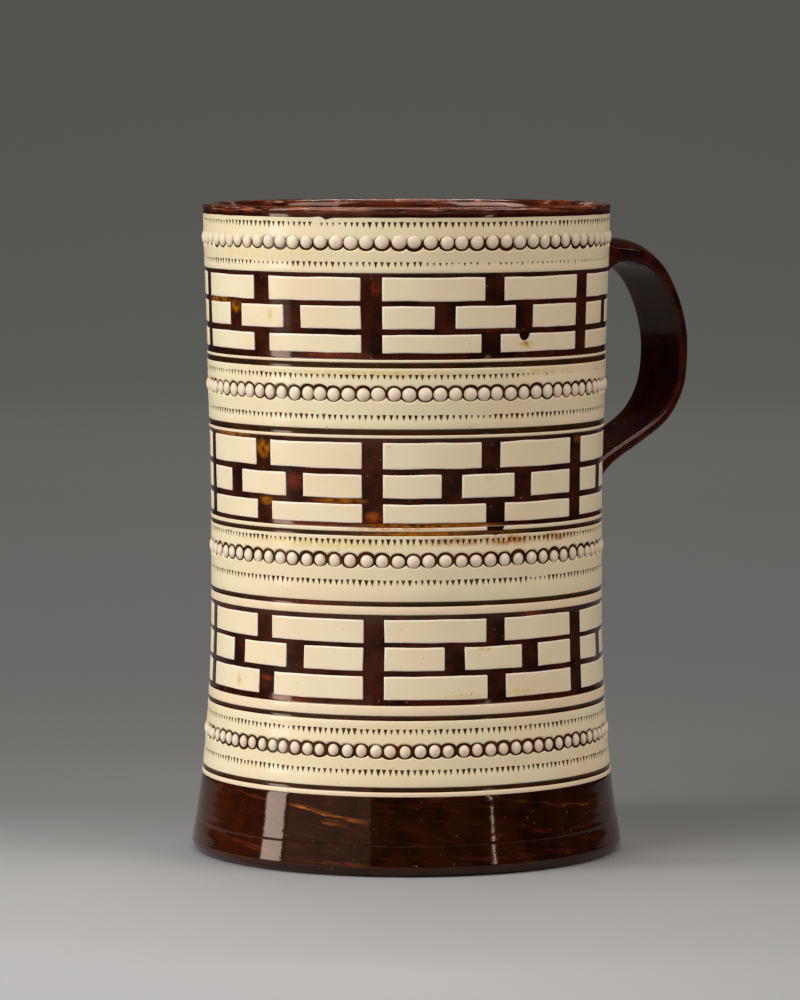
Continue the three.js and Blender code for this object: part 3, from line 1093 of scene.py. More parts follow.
    def lay(self, name: str, shape: Callable[[float, float, float, float], Piece]) -> Piece:
        """Lay one shape a brick all round the field: the front panels, then the back one three times.

        Args:
            name: Name of the laid piece.
            shape: Models one shape from its brick's bottom, top, start and end.

        Returns:
            The laid shapes as one mesh.
        """
        left, right = self.plan.front
        spans = self.spans(left, right.upright) + self.spans(right, self.plan.last_upright)
        front = [shape(*span) for span in spans]
        width = self.plan.hidden_width()
        hidden = self.spans(self.plan.hidden_panel(), self.plan.last_upright + width)
        back = join("back_panel", [shape(*span) for span in hidden])
        turns = [Matrix.Rotation(math.radians(width * n), 4, "Z") for n in range(self.plan.hidden_count)]
        return join(name, [scatter(name, back, turns)] + front)

    def bricks(self) -> Piece:
        """Make all the field's bricks, seven to a panel."""
        piece = self.lay(f"bricks_{self.plan.name}", self.brick)
        if self.span[0] < BRICK_RUN.level < self.span[1]:
            carve(piece, run_disc("run_cutter", self.wall, BRICK_RUN, -self.run_depth, self.run_depth))
        waver(piece, 7.0, 0.16, 0.05)
        waver(piece, 1.9, 0.05, 0.02)
        shade_smooth(piece, 50.0)
        return piece

    def slip(self) -> Piece:
        """Make the sunk ring of slip, which creeps up the field's edges and the bricks' sides."""
        bottom, top = self.span
        reach = self.slip_edge[-1][0]
        inner = (top - bottom - 2.0 * reach) / self.slip_rows
        points = [(bottom + rise, inset) for rise, inset in self.slip_edge]
        points += [(bottom + reach + inner * n, self.slip_inset) for n in range(1, self.slip_rows)]
        points += [(top - rise, inset) for rise, inset in reversed(self.slip_edge)]
        face = [(self.wall.radius(level) - inset, level) for level, inset in points]
        back = [(self.wall.radius(level) - self.slip_back, level) for level in (top, bottom)]
        ring = turn("slip_ring", face + back + face[:1])
        net = join(f"slip_net_{self.plan.name}", [ring, self.lay("pads", self.pad)])
        waver(net, 5.0, 0.0, 0.03)
        shade_smooth(net, 60.0)
        return net


# Coats and lines of slip


@dataclass(frozen=True)
class SlipCoats:
    """The brown slip on the foot, over the lip and in the turned lines."""

    wall: Wall
    bands: Bands
    foot_thickness: float = 0.85
    foot_inset: float = 0.04
    foot_edge: tuple[Point, ...] = ((2.2, 0.12), (1.5, 0.2), (0.95, 0.5), (0.5, 1.0), (0.22, 1.6), (0.1, 2.2))
    foot_ring_start: float = 2.75
    foot_ring_step: float = 0.45
    foot_ring_pitch: float = 2.3
    foot_ring_height: float = 0.005
    foot_line_level: float = 7.5
    foot_line_reach: Point = (-0.9, 0.6)
    foot_line: tuple[Point, ...] = ((-0.5, 0.035), (-0.46, 0.1), (0.1, 0.035), (0.4, 0.035))
    foot_shoulder: tuple[Point, ...] = ((0.03, -0.3), (0.1, -0.06), (0.3, 0.01))
    line_face: float = 0.2
    line_meniscus: float = 0.13
    line_back: float = 0.7
    line_overlap: float = 0.005
    line_shares: tuple[float, ...] = (0.0, 0.12, 0.3, 0.5, 0.7, 0.88, 1.0)
    lip_seat: float = 2.35
    lip_outside: tuple[Point, ...] = (
        (-0.9, -2.6), (-0.1, -2.42), (0.06, -2.3), (0.03, -2.1), (-0.04, -1.75), (0.0, -1.4),
        (0.1, -1.15), (0.17, -0.85), (0.14, -0.55), (-0.02, -0.3), (-0.35, -0.1), (-0.8, -0.01),
    )
    lip_inside: tuple[Point, ...] = (
        (1.9, 0.0), (1.3, -0.04), (0.66, -0.22), (0.2, -0.6), (-0.1, -1.2), (-0.22, -2.2))
    inside_drops: tuple[float, ...] = (3.4, 4.6, 5.8, 7.0, 8.2, 9.0)
    inside_thickness: float = 0.17
    inside_end: float = 9.5
    lip_back: float = 1.8
    lip_steps: int = 288
    notches: tuple[Point, ...] = ((-149.9, 0.35), (-147.4, -0.5))
    run_face: float = 0.42
    run_back: float = 1.0

    def foot(self) -> Piece:
        """Turn the foot's coat: a rounded lower edge, faint turning rings and one turned line."""
        top = self.bands.foot_top()
        radius = self.wall.radius
        points = [(radius(0.0) - inward, level) for inward, level in self.foot_edge]
        level = self.foot_ring_start
        while level < top - 0.5:
            ring = self.foot_ring_height * math.sin(FULL_TURN * level / self.foot_ring_pitch)
            if not self.foot_line_reach[0] < level - self.foot_line_level < self.foot_line_reach[1]:
                points.append((radius(level) - self.foot_inset + ring, level))
            level += self.foot_ring_step
        points += [(radius(self.foot_line_level + rise) - down, self.foot_line_level + rise)
                   for rise, down in self.foot_line]
        points.sort(key=lambda point: point[1])
        points += [(radius(top) - inward, top + rise) for inward, rise in self.foot_shoulder]
        points += [(radius(level) - self.foot_thickness - 0.3, end)
                   for level, end in ((top, top + 0.01), (9.0, 9.0))]
        points += [(radius(0.0) - 2.4, 0.9), points[0]]
        coat = turn("foot_dip", points)
        shade_smooth(coat, 50.0)
        return coat

    def rim(self) -> Piece:
        """Turn the lip's coat: a hollow below a rounded lip, where its material paints shade, and a short way
        down inside.
        """
        top = self.bands.lip_top()
        face = self.wall.radius(top - self.lip_seat)
        inside, slope = self.wall.hollow_radii[-1], self.wall.hollow_slope()
        end = top - self.inside_end
        points = [(face + out, top + rise) for out, rise in self.lip_outside]
        points += [(inside + out, top + rise) for out, rise in self.lip_inside]
        points += [(inside - slope * drop - self.inside_thickness, top - drop) for drop in self.inside_drops]
        points += [(inside - slope * self.inside_end - 0.02, end), (inside + 0.3, end)]
        points += [(inside + 0.6, top - self.lip_back), (face - 1.6, top - self.lip_back), points[0]]
        coat = turn("rim_dip", points, self.lip_steps)
        self.unevenness(coat, face)
        shade_smooth(coat, 50.0)
        return coat

    def unevenness(self, coat: Piece, face: float) -> None:
        """Let the lip's lower edge and its small runs waver, as dipped slip does.

        Args:
            coat: The lip's coat.
            face: Radius of the wall below it.
        """
        for vertex in coat.data.vertices:
            out = math.hypot(vertex.co.x, vertex.co.y)
            if out < (face - 1.2) * MM:
                continue
            angle = math.atan2(vertex.co.y, vertex.co.x)
            sway, fine = (noise.noise(Vector((pitch * math.cos(angle), pitch * math.sin(angle), layer)))
                          for pitch, layer in ((9.0, 3.0), (30.0, 8.0)))
            low = min(max((151.0 * MM - vertex.co.z) / (1.4 * MM), 0.0), 1.0)
            notch = sum(height * self.dent(angle, middle) for middle, height in self.notches)
            vertex.co.z += (0.12 * sway + 0.07 * fine + notch) * low * MM
            swell = 1.0 + 0.05 * MM * fine / out
            vertex.co.x *= swell
            vertex.co.y *= swell
        coat.data.update()

    @staticmethod
    def dent(angle: float, middle: float) -> float:
        """Give a small bell that is 1 at a plan angle in degrees."""
        return math.exp(-((math.degrees(angle) - middle) / 1.1) ** 2)

    def runs(self) -> Piece:
        """Fill the places where slip ran down over a ridge and a brick."""
        piece = join("slip_runs", [run_disc("run", self.wall, run, self.run_face, self.run_back)
                                   for run in (RIDGE_RUN, BRICK_RUN)])
        shade_smooth(piece)
        return piece

    def line(self, index: int) -> Piece:
        """Turn the slip in one groove, with a hollow face that rises to the groove's sides.

        Args:
            index: Number of the line, from the foot up.

        Returns:
            The line's ring.
        """
        bottom, top = self.bands.lines()[index]
        bottom, top = bottom - self.line_overlap, top + self.line_overlap
        span = top - bottom
        points = [(self.wall.radius(bottom) - self.line_back, bottom)]
        for share in self.line_shares:
            rise = (2.0 * share - 1.0) ** 4
            level = bottom + span * share
            depth = self.line_face + (self.line_meniscus - self.line_face) * rise
            points.append((self.wall.radius(level) - depth, level))
        points += [(self.wall.radius(top) - self.line_back, top), points[0]]
        ring = turn(f"slip_line_{index + 1}", points)
        shade_smooth(ring)
        return ring


# Handle


@dataclass(frozen=True)
class StrapHandle:
    """The pulled strap: flat inside, crowned outside, and thickened where it joins the wall.

    Its path gives the distance out from the wall, the depth below the lip and the thickness.
    """

    wall: Wall
    bands: Bands
    path: tuple[tuple[float, float, float], ...] = (
        (-3.1, 15.4, 13.4), (3.4, 13.3, 9.6), (10.4, 11.8, 6.0), (17.9, 12.9, 5.7), (23.4, 16.4, 5.1),
        (27.5, 22.7, 4.4), (30.3, 31.0, 4.0), (30.7, 39.0, 3.9), (29.3, 46.4, 4.0), (25.0, 52.8, 4.2),
        (17.9, 57.5, 4.2), (9.9, 61.8, 4.6), (3.9, 65.9, 5.9), (-3.1, 72.0, 9.0),
    )
    half_width: float = 8.25
    edge_share: float = 0.5
    edge_lean: float = 1.15
    crown: float = 2.4
    steps: int = 130
    inner_corner: float = 0.6
    outer_corner: float = 1.0
    root_flare: float = 0.1
    root_reach: float = 4.5
    clay_depth: float = 1.2
    shrink: float = 0.03
    seat_depth: float = 39.0

    def section(self, thickness: float, half: float) -> list[Point]:
        """Give the strap's outline across its width.

        Args:
            thickness: Thickness at the crown.
            half: Half the strap's width.

        Returns:
            Points of sideways and outward distance from the middle, once round.
        """
        edge = max(thickness * self.edge_share, thickness - self.crown)
        inner = min(self.inner_corner, edge * 0.3)
        outer = min(self.outer_corner, edge * 0.5)
        low = -thickness / 2.0
        points = [((share * 2.0 - 1.0) * (half - inner), low) for share in (n / 7.0 for n in range(8))]
        for n in range(1, 4):
            bend = math.pi / 2.0 * n / 4.0
            points.append((half - inner + inner * math.sin(bend), low + inner * (1.0 - math.cos(bend))))
        for n in range(5):
            bend = self.edge_lean * n / 4.0
            points.append((half - outer + outer * math.cos(bend),
                           low + edge - outer * 0.6 + outer * math.sin(bend)))
        rim_side = half - outer + outer * math.cos(self.edge_lean)
        for n in range(1, 8):
            side = rim_side * (1.0 - n / 8.0)
            points.append((side, low + edge + (thickness - edge) * (1.0 - (side / half) ** 2)))
        points.append((0.0, low + thickness))
        return points + [(-side, out) for side, out in reversed(points[8:-1])]

    def centre_line(self) -> list[Vector]:
        """Give the strap's middle line: X out from the axis, Y the thickness and Z the level."""
        lip = self.bands.lip_top()
        seat = self.wall.radius(lip - self.seat_depth)
        knots = [Vector((seat + out, thickness, lip - down)) for out, down, thickness in self.path]
        knots = [2.0 * knots[0] - knots[1]] + knots + [2.0 * knots[-1] - knots[-2]]
        spans = len(knots) - 3
        line = []
        for step in range(self.steps + 1):
            place = spans * step / self.steps
            first = min(int(place), spans - 1)
            line.append(self.curve_point(knots[first:first + 4], place - first))
        return line

    @staticmethod
    def curve_point(knots: Sequence[Vector], t: float) -> Vector:
        """Give a point between the middle two of four knots, on a centripetal curve.

        Args:
            knots: Four knots in order.
            t: Share of the way from the second to the third.

        Returns:
            The point.
        """
        before, start, end, after = knots
        gaps = [math.sqrt((b - a).length) for a, b in zip(knots, knots[1:])]
        leave = (start - before) / gaps[0] - (end - before) / (gaps[0] + gaps[1]) + (end - start) / gaps[1]
        arrive = (end - start) / gaps[1] - (after - start) / (gaps[1] + gaps[2]) + (after - end) / gaps[2]
        leave, arrive = leave * gaps[1], arrive * gaps[1]
        square = 3.0 * (end - start) - 2.0 * leave - arrive
        cube = 2.0 * (start - end) + leave + arrive
        return start + leave * t + square * t ** 2 + cube * t ** 3

    def bar(self, sides: int) -> Piece:
        """Model a straight bar with a ring of edges at each step along it.

        Args:
            sides: Number of sides of the bar.

        Returns:
            The bar, upright on the origin, one millimetre to a step.
        """
        deselect_all()
        bpy.ops.mesh.primitive_circle_add(vertices=sides, radius=10.0 * MM, fill_type="NGON")
        bar = new_primitive("strap_handle")
        for _ in range(self.steps):
            bpy.ops.mesh.extrude_region_move(TRANSFORM_OT_translate={"value": (0.0, 0.0, MM)})
        close_edit()
        return bar

    def build(self) -> Piece:
        """Bend the bar along the strap's line and give it the strap's section.

        Returns:
            The finished handle, with attributes for its place along and across.
        """
        line = self.centre_line()
        sides = len(self.section(4.0, self.half_width))
        bar = self.bar(sides)
        along, across = [], []
        for vertex in bar.data.vertices:
            step = min(max(round(vertex.co.z / MM), 0), self.steps)
            corner = round(math.atan2(vertex.co.x, vertex.co.y) / (FULL_TURN / sides)) % sides
            here = line[step]
            tangent = line[min(step + 1, self.steps)] - line[max(step - 1, 0)]
            ahead = Vector((tangent.x, 0.0, tangent.z)).normalized()
            wall_gap = (here.x - self.wall.radius(here.z)) / self.root_reach
            half = self.half_width * (1.0 + self.root_flare * math.exp(-max(wall_gap, 0.0) ** 2))
            side, out = self.section(here.y - self.shrink, half)[corner]
            place = Vector((here.x - ahead.z * out, side, here.z + ahead.x * out))
            along.append(step / self.steps)
            across.append(side / half)
            vertex.co = self.settle(place) * MM
        store(bar, "along", along)
        store(bar, "across", across)
        activate(bar)
        bpy.ops.object.mode_set(mode="EDIT")
        bpy.ops.mesh.select_all(action="SELECT")
        bpy.ops.mesh.normals_make_consistent(inside=False)
        close_edit()
        shade_smooth(bar, 60.0)
        return bar

    def settle(self, place: Vector) -> Vector:
        """Give a point of the strap its slight unevenness, and keep its roots inside the clay.

        Args:
            place: The point as first worked out.

        Returns:
            The point where it ends up.
        """
        sway = noise.noise_vector(place / 11.0) * 0.16 + noise.noise_vector(place / 4.0) * 0.05
        moved = place + sway
        limit = self.wall.radius(moved.z) - self.clay_depth
        out = math.hypot(moved.x, moved.y)
        if out < limit:
            moved.x *= limit / out
            moved.y *= limit / out
        return moved


# Finishes


@dataclass(frozen=True)
class Spot:
    """An oval patch on the wall: plan angle in degrees, level, half width, half height and strength."""

    angle: float
    level: float
    half_width: float
    half_height: float
    strength: float


@dataclass(frozen=True)
class Mottle:
    """A noise pattern: the distance between its features, where it comes in, its lowest and highest mask."""

    pitch: float
    start: float
    end: float
    low: float = 0.0
    high: float = 1.0
    detail: float = 3.0


def mottle_mask(tree: Tree, place: Socket, mottle: Mottle) -> Socket:
    """Mask a surface by a noise pattern that follows the given coordinates."""
    pattern = add_node(tree, "TexNoise", grain(place, mottle.pitch, mottle.detail))
    return add_node(tree, "MapRange", {0: pattern, 1: mottle.start, 2: mottle.end,
                                       3: mottle.low, 4: mottle.high}).outputs[0]


def spot_mask(tree: Tree, place: Socket, spots: Sequence[Spot], pitch: float = 1.5) -> Socket:
    """Mask ragged oval patches on the wall.

    Args:
        tree: The material's tree.
        place: Object coordinates.
        spots: The patches.
        pitch: Distance between the rags of their edges.

    Returns:
        The mask, from 0 to 1.
    """
    masks: list[Source] = []
    for spot in spots:
        turned = math.radians(spot.angle)
        middle = (WALL_RADIUS * math.cos(turned) * MM, WALL_RADIUS * math.sin(turned) * MM, spot.level * MM)
        size = (SPOT_DEPTH * MM, spot.half_width * MM, spot.half_height * MM)
        local = add_node(tree, "Mapping", {"Vector": place, "Location": middle, "Scale": size,
                                           "Rotation": (0.0, 0.0, turned)}, vector_type="TEXTURE")
        far = add_node(tree, "VectorMath", {0: local}, operation="LENGTH").outputs["Value"]
        masks.append(add_node(tree, "MapRange", {0: far, 1: 1.0, 2: SPOT_CORE, 3: 0.0, 4: spot.strength}))
    mask = masks[0]
    for other in masks[1:]:
        mask = add_node(tree, "Math", {0: mask, 1: other}, operation="MAXIMUM")
    ragged = mottle_mask(tree, place, Mottle(pitch, 0.36, 0.55, 0.15, 1.0, 5.0))
    return add_node(tree, "Math", {0: mask, 1: ragged}, operation="MULTIPLY").outputs[0]


def lay_colours(tree: Tree, ground: Socket, layers: Iterable[tuple[Source, str]]) -> Socket:
    """Lay colours over a ground, each where its mask says.

    Args:
        tree: The material's tree.
        ground: The colour under them all.
        layers: Mask and hex colour of each layer, from the lowest up.

    Returns:
        The colour that they make.
    """
    for mask, tone in layers:
        mixed = add_node(tree, "Mix", {0: mask, 6: ground, 7: to_linear(tone)}, data_type="RGBA")
        ground = mixed.outputs[2]
    return ground


@dataclass(frozen=True)
class Glaze:
    """Clear lead glaze over a coloured ground: the gloss that every finish of the mug shares."""

    name: str
    roughness: float
    coat: float = 0.0
    coat_roughness: float = 0.12
    shine: float = 0.12
    shine_tone: str = "#FFFFFF"
    swell_pitch: float = 11.0
    swell_height: float = 0.05
    peel_pitch: float = 1.7
    peel_height: float = 0.006

    def colour(self, tree: Tree, place: Socket) -> Socket:
        """Give the colour under the glaze, which each kind of glaze lays in its own way."""
        raise NotImplementedError(self.name)

    def build(self) -> Material:
        """Make the material, whose slow swells and fine orange peel break up its reflections."""
        material, tree = new_material(self.name)
        place = add_node(tree, "TexCoord").outputs["Object"]
        swell = add_node(tree, "TexNoise", grain(place, self.swell_pitch, 1.0))
        peel = add_node(tree, "TexNoise", grain(place, self.peel_pitch, 2.0))
        slow = add_node(tree, "Bump", {"Height": swell, "Distance": self.swell_height * MM, "Strength": 1.0})
        fine = add_node(tree, "Bump", {"Height": peel, "Distance": self.peel_height * MM, "Strength": 1.0,
                                       "Normal": slow})
        shader = add_node(tree, "BsdfPrincipled", {
            "Base Color": self.colour(tree, place), "Roughness": self.roughness, "IOR": GLAZE_IOR,
            "Specular IOR Level": self.shine, "Specular Tint": to_linear(self.shine_tone),
            "Coat Weight": self.coat, "Coat Roughness": self.coat_roughness, "Coat IOR": LEAD_GLAZE_IOR,
            "Normal": fine, "Coat Normal": fine,
        })
        add_node(tree, "OutputMaterial", {"Surface": shader})
        return material


@dataclass(frozen=True)
class CreamGlaze(Glaze):
    """Clear lead glaze on cream earthenware: warm ivory, pink on ridges and edges, yellower in hollows.

    It pools at the bead levels, and draws off the thin ridges, given by their bottom and top levels.
    """

    bead_levels: Sequence[float] = ()
    ridges: Sequence[Point] = ()
    height: float = 152.0
    ivory: str = "#F3E5C2"
    blush: str = "#F0DAB6"
    pool: str = "#ECDCB2"
    ridge: str = "#F2D8B8"
    edge: str = "#F8E8D4"
    amber: str = "#B9741E"
    straw: str = "#DFC063"
    speck: str = "#8A7448"
    tone_pitch: float = 24.0
    dry: float = 0.1
    pooling: tuple[Point, ...] = ((-7.0, 0.08), (-3.4, 0.6), (0.0, 0.7), (3.4, 0.6), (6.4, 0.08))
    pooled_patches: Mottle = Mottle(9.0, 0.35, 0.7, 0.1, 0.8)
    ridge_fade: float = 0.1
    ridge_strength: float = 0.6
    edge_strength: float = 0.9
    specks: Mottle = Mottle(0.9, 0.765, 0.8, 0.0, 0.5, 1.0)
    amber_spots: tuple[Spot, ...] = (
        Spot(-111.0, 76.1, 10.0, 1.4, 0.75), Spot(-95.0, 76.2, 10.0, 1.6, 0.95),
        Spot(-77.0, 76.2, 9.0, 1.3, 0.9), Spot(-128.0, 79.3, 15.0, 0.7, 0.7),
        Spot(-100.0, 72.6, 5.0, 1.0, 0.35), Spot(-89.6, 121.0, 2.1, 0.7, 0.8),
        Spot(62.0, 75.8, 9.0, 1.3, 0.6),
    )
    straw_spots: tuple[Spot, ...] = (
        Spot(-150.0, 75.6, 30.0, 1.3, 0.6), Spot(-134.0, 114.3, 32.0, 1.2, 0.6),
        Spot(-166.5, 127.4, 1.0, 1.5, 0.6), Spot(178.6, 42.6, 1.3, 1.9, 0.9),
        Spot(-102.0, 51.6, 2.4, 0.8, 0.95), Spot(-94.5, 51.8, 1.9, 0.6, 0.7),
        Spot(-89.4, 120.6, 2.6, 1.1, 0.9), Spot(-101.0, 90.5, 1.4, 1.2, 0.5),
        Spot(-172.0, 141.5, 26.0, 2.4, 0.25), Spot(-80.0, 114.5, 13.0, 1.2, 0.5),
        Spot(-108.0, 40.9, 6.0, 0.7, 0.5), Spot(-92.0, 41.3, 5.0, 0.8, 0.5), Spot(30.0, 46.0, 4.0, 2.0, 0.6),
        Spot(100.0, 141.0, 20.0, 2.0, 0.4),
    )

    def colour(self, tree: Tree, place: Socket) -> Socket:
        """Give the cream clay's colour, with its stains and specks.

        Args:
            tree: The material's tree.
            place: Object coordinates.

        Returns:
            The colour.
        """
        tone = add_node(tree, "TexNoise", grain(place, self.tone_pitch, 3.0))
        ground = add_node(tree, "ValToRGB", {0: tone}, [(0.38, self.ivory), (0.68, self.blush)])
        axes = add_node(tree, "SeparateXYZ", {0: place})
        share = add_node(tree, "Math", {0: axes.outputs["Z"], 1: 1.0 / (self.height * MM)},
                         operation="MULTIPLY")
        wet_stops = [(0.0, self.dry)]
        wet_stops += [(level + rise, wet) for level in self.bead_levels for rise, wet in self.pooling]
        fade, bare = self.ridge_fade, self.ridge_strength
        ridge_stops = [(0.0, 0.0)]
        for bottom, top in self.ridges:
            ridge_stops += [(bottom - fade, 0.0), (bottom + fade, bare)]
            ridge_stops += [(top - fade, bare), (top + fade, 0.0)]
        pooling, drawn = (
            add_node(tree, "ValToRGB", {0: share}, [(level / self.height, mask) for level, mask in stops])
            for stops in (wet_stops, ridge_stops))
        wet = mottle_mask(tree, place, self.pooled_patches)
        pooled = add_node(tree, "Math", {0: pooling, 1: wet}, operation="MULTIPLY")
        rim = add_node(tree, "Attribute", attribute_name="edge").outputs["Fac"]
        thin = add_node(tree, "MapRange", {0: rim, 1: 0.25, 2: 1.0, 3: 0.0, 4: self.edge_strength})
        return lay_colours(tree, ground.outputs[0], (
            (pooled, self.pool), (drawn, self.ridge), (thin, self.edge),
            (spot_mask(tree, place, self.straw_spots), self.straw),
            (spot_mask(tree, place, self.amber_spots), self.amber),
            (mottle_mask(tree, place, self.specks), self.speck)))


@dataclass(frozen=True)
class BeadGlaze(Glaze):
    """Thin clear glaze on white clay: a waxy pinkish cream, browner towards each bead's base, partly where
    glaze gathers and partly as painted shade.
    """

    white: str = "#F1E1C8"
    pink: str = "#EED8C2"
    wax: str = "#EBDCBC"
    # Warm brown towards a bead's base: partly gathered slip, partly painted shade.
    foot: str = "#A9805C"
    tone_pitch: float = 5.0
    seat_shade_strength: float = 0.7

    def colour(self, tree: Tree, place: Socket) -> Socket:
        """Give the white clay's colour, darker towards where a bead meets the slip in its dish: partly slip
        gathered at its base, partly painted shade.

        Args:
            tree: The material's tree.
            place: Object coordinates.

        Returns:
            The colour.
        """
        tone = add_node(tree, "TexNoise", grain(place, self.tone_pitch, 2.0))
        ground = add_node(tree, "ValToRGB", {0: tone}, [
            (0.34, self.wax), (0.5, self.white), (0.66, self.pink)])
        # Painted shade, with gathered slip, darkening each bead towards its seat.
        seat = add_node(tree, "Attribute", attribute_name="seat").outputs["Fac"]
        low = add_node(tree, "MapRange", {0: seat, 4: self.seat_shade_strength})
        return lay_colours(tree, ground.outputs[0], [(low, self.foot)])


@dataclass(frozen=True)
class BrownSlip(Glaze):
    """Glossy glaze on dark brown slip: nearly black where thick, red-brown in patches, amber where thin."""

    deep: str = "#210C06"
    warm: str = "#3E190D"
    thin: str = "#6A2A14"
    amber: str = "#A8620F"
    red: str = "#7A2C14"
    speck: str = "#A8806E"
    patch_pitch: float = 6.0
    shine: float = 0.5
    shine_tone: str = "#FFE2CE"
    pinholes: Mottle = Mottle(0.8, 0.75, 0.79, 0.0, 0.45, 1.0)
    amber_spots: tuple[Spot, ...] = ()
    red_spots: tuple[Spot, ...] = ()

    def colour(self, tree: Tree, place: Socket) -> Socket:
        """Give the slip's mottled colour, with its patches and a few pale pinholes.

        Args:
            tree: The material's tree.
            place: Object coordinates.

        Returns:
            The colour.
        """
        patch = add_node(tree, "TexNoise", grain(place, self.patch_pitch, 4.0))
        ground = add_node(tree, "ValToRGB", {0: patch}, [
            (0.38, self.deep), (0.58, self.warm), (0.7, self.warm), (0.8, self.thin)])
        patches = ((self.red_spots, self.red), (self.amber_spots, self.amber))
        layers = [(spot_mask(tree, place, spots), tone) for spots, tone in patches if spots]
        layers.append((mottle_mask(tree, place, self.pinholes), self.speck))
        return lay_colours(tree, ground.outputs[0], layers)


NET_AMBER = (
    Spot(178.2, 128.9, 2.9, 1.9, 1.0), Spot(167.0, 130.2, 7.5, 0.9, 0.9), Spot(-170.4, 96.6, 2.9, 2.6, 1.0),
    Spot(-169.6, 84.7, 2.8, 1.3, 0.9), Spot(-144.5, 85.4, 7.5, 1.0, 0.95),
    Spot(-187.0, 99.4, 13.0, 0.9, 0.8), Spot(-118.0, 79.9, 20.0, 0.6, 1.0),
    Spot(-122.0, 78.0, 16.0, 0.9, 1.0), Spot(-96.0, 78.0, 9.0, 0.5, 0.4), Spot(-134.5, 82.0, 2.4, 1.4, 0.35),
    Spot(-66.5, 98.0, 2.0, 1.2, 0.5), Spot(40.0, 96.0, 4.0, 2.4, 0.9), Spot(96.0, 52.0, 5.0, 1.8, 0.8),
    Spot(20.0, 37.8, 9.0, 0.8, 0.8),
)
NET_RED = (
    Spot(-146.0, 118.6, 9.0, 0.8, 0.9), Spot(-158.7, 89.4, 3.0, 2.4, 0.7), Spot(-169.1, 43.8, 2.6, 0.8, 0.9),
    Spot(-161.0, 39.4, 8.0, 0.7, 0.9), Spot(-87.0, 59.0, 5.0, 0.8, 0.8), Spot(-133.6, 133.6, 1.4, 2.0, 0.8),
    Spot(-134.5, 81.6, 2.8, 1.8, 0.8), Spot(-98.0, 124.0, 8.0, 0.6, 0.5), Spot(-150.0, 79.9, 14.0, 0.6, 0.7),
    Spot(-152.0, 61.9, 12.0, 0.6, 0.6), Spot(80.0, 118.8, 10.0, 0.8, 0.7),
)


@dataclass(frozen=True)
class Stroke:
    """A brush stroke on the foot: start and end angle in degrees and level, half width and strength."""

    start: Point
    end: Point
    half_width: float
    strength: float


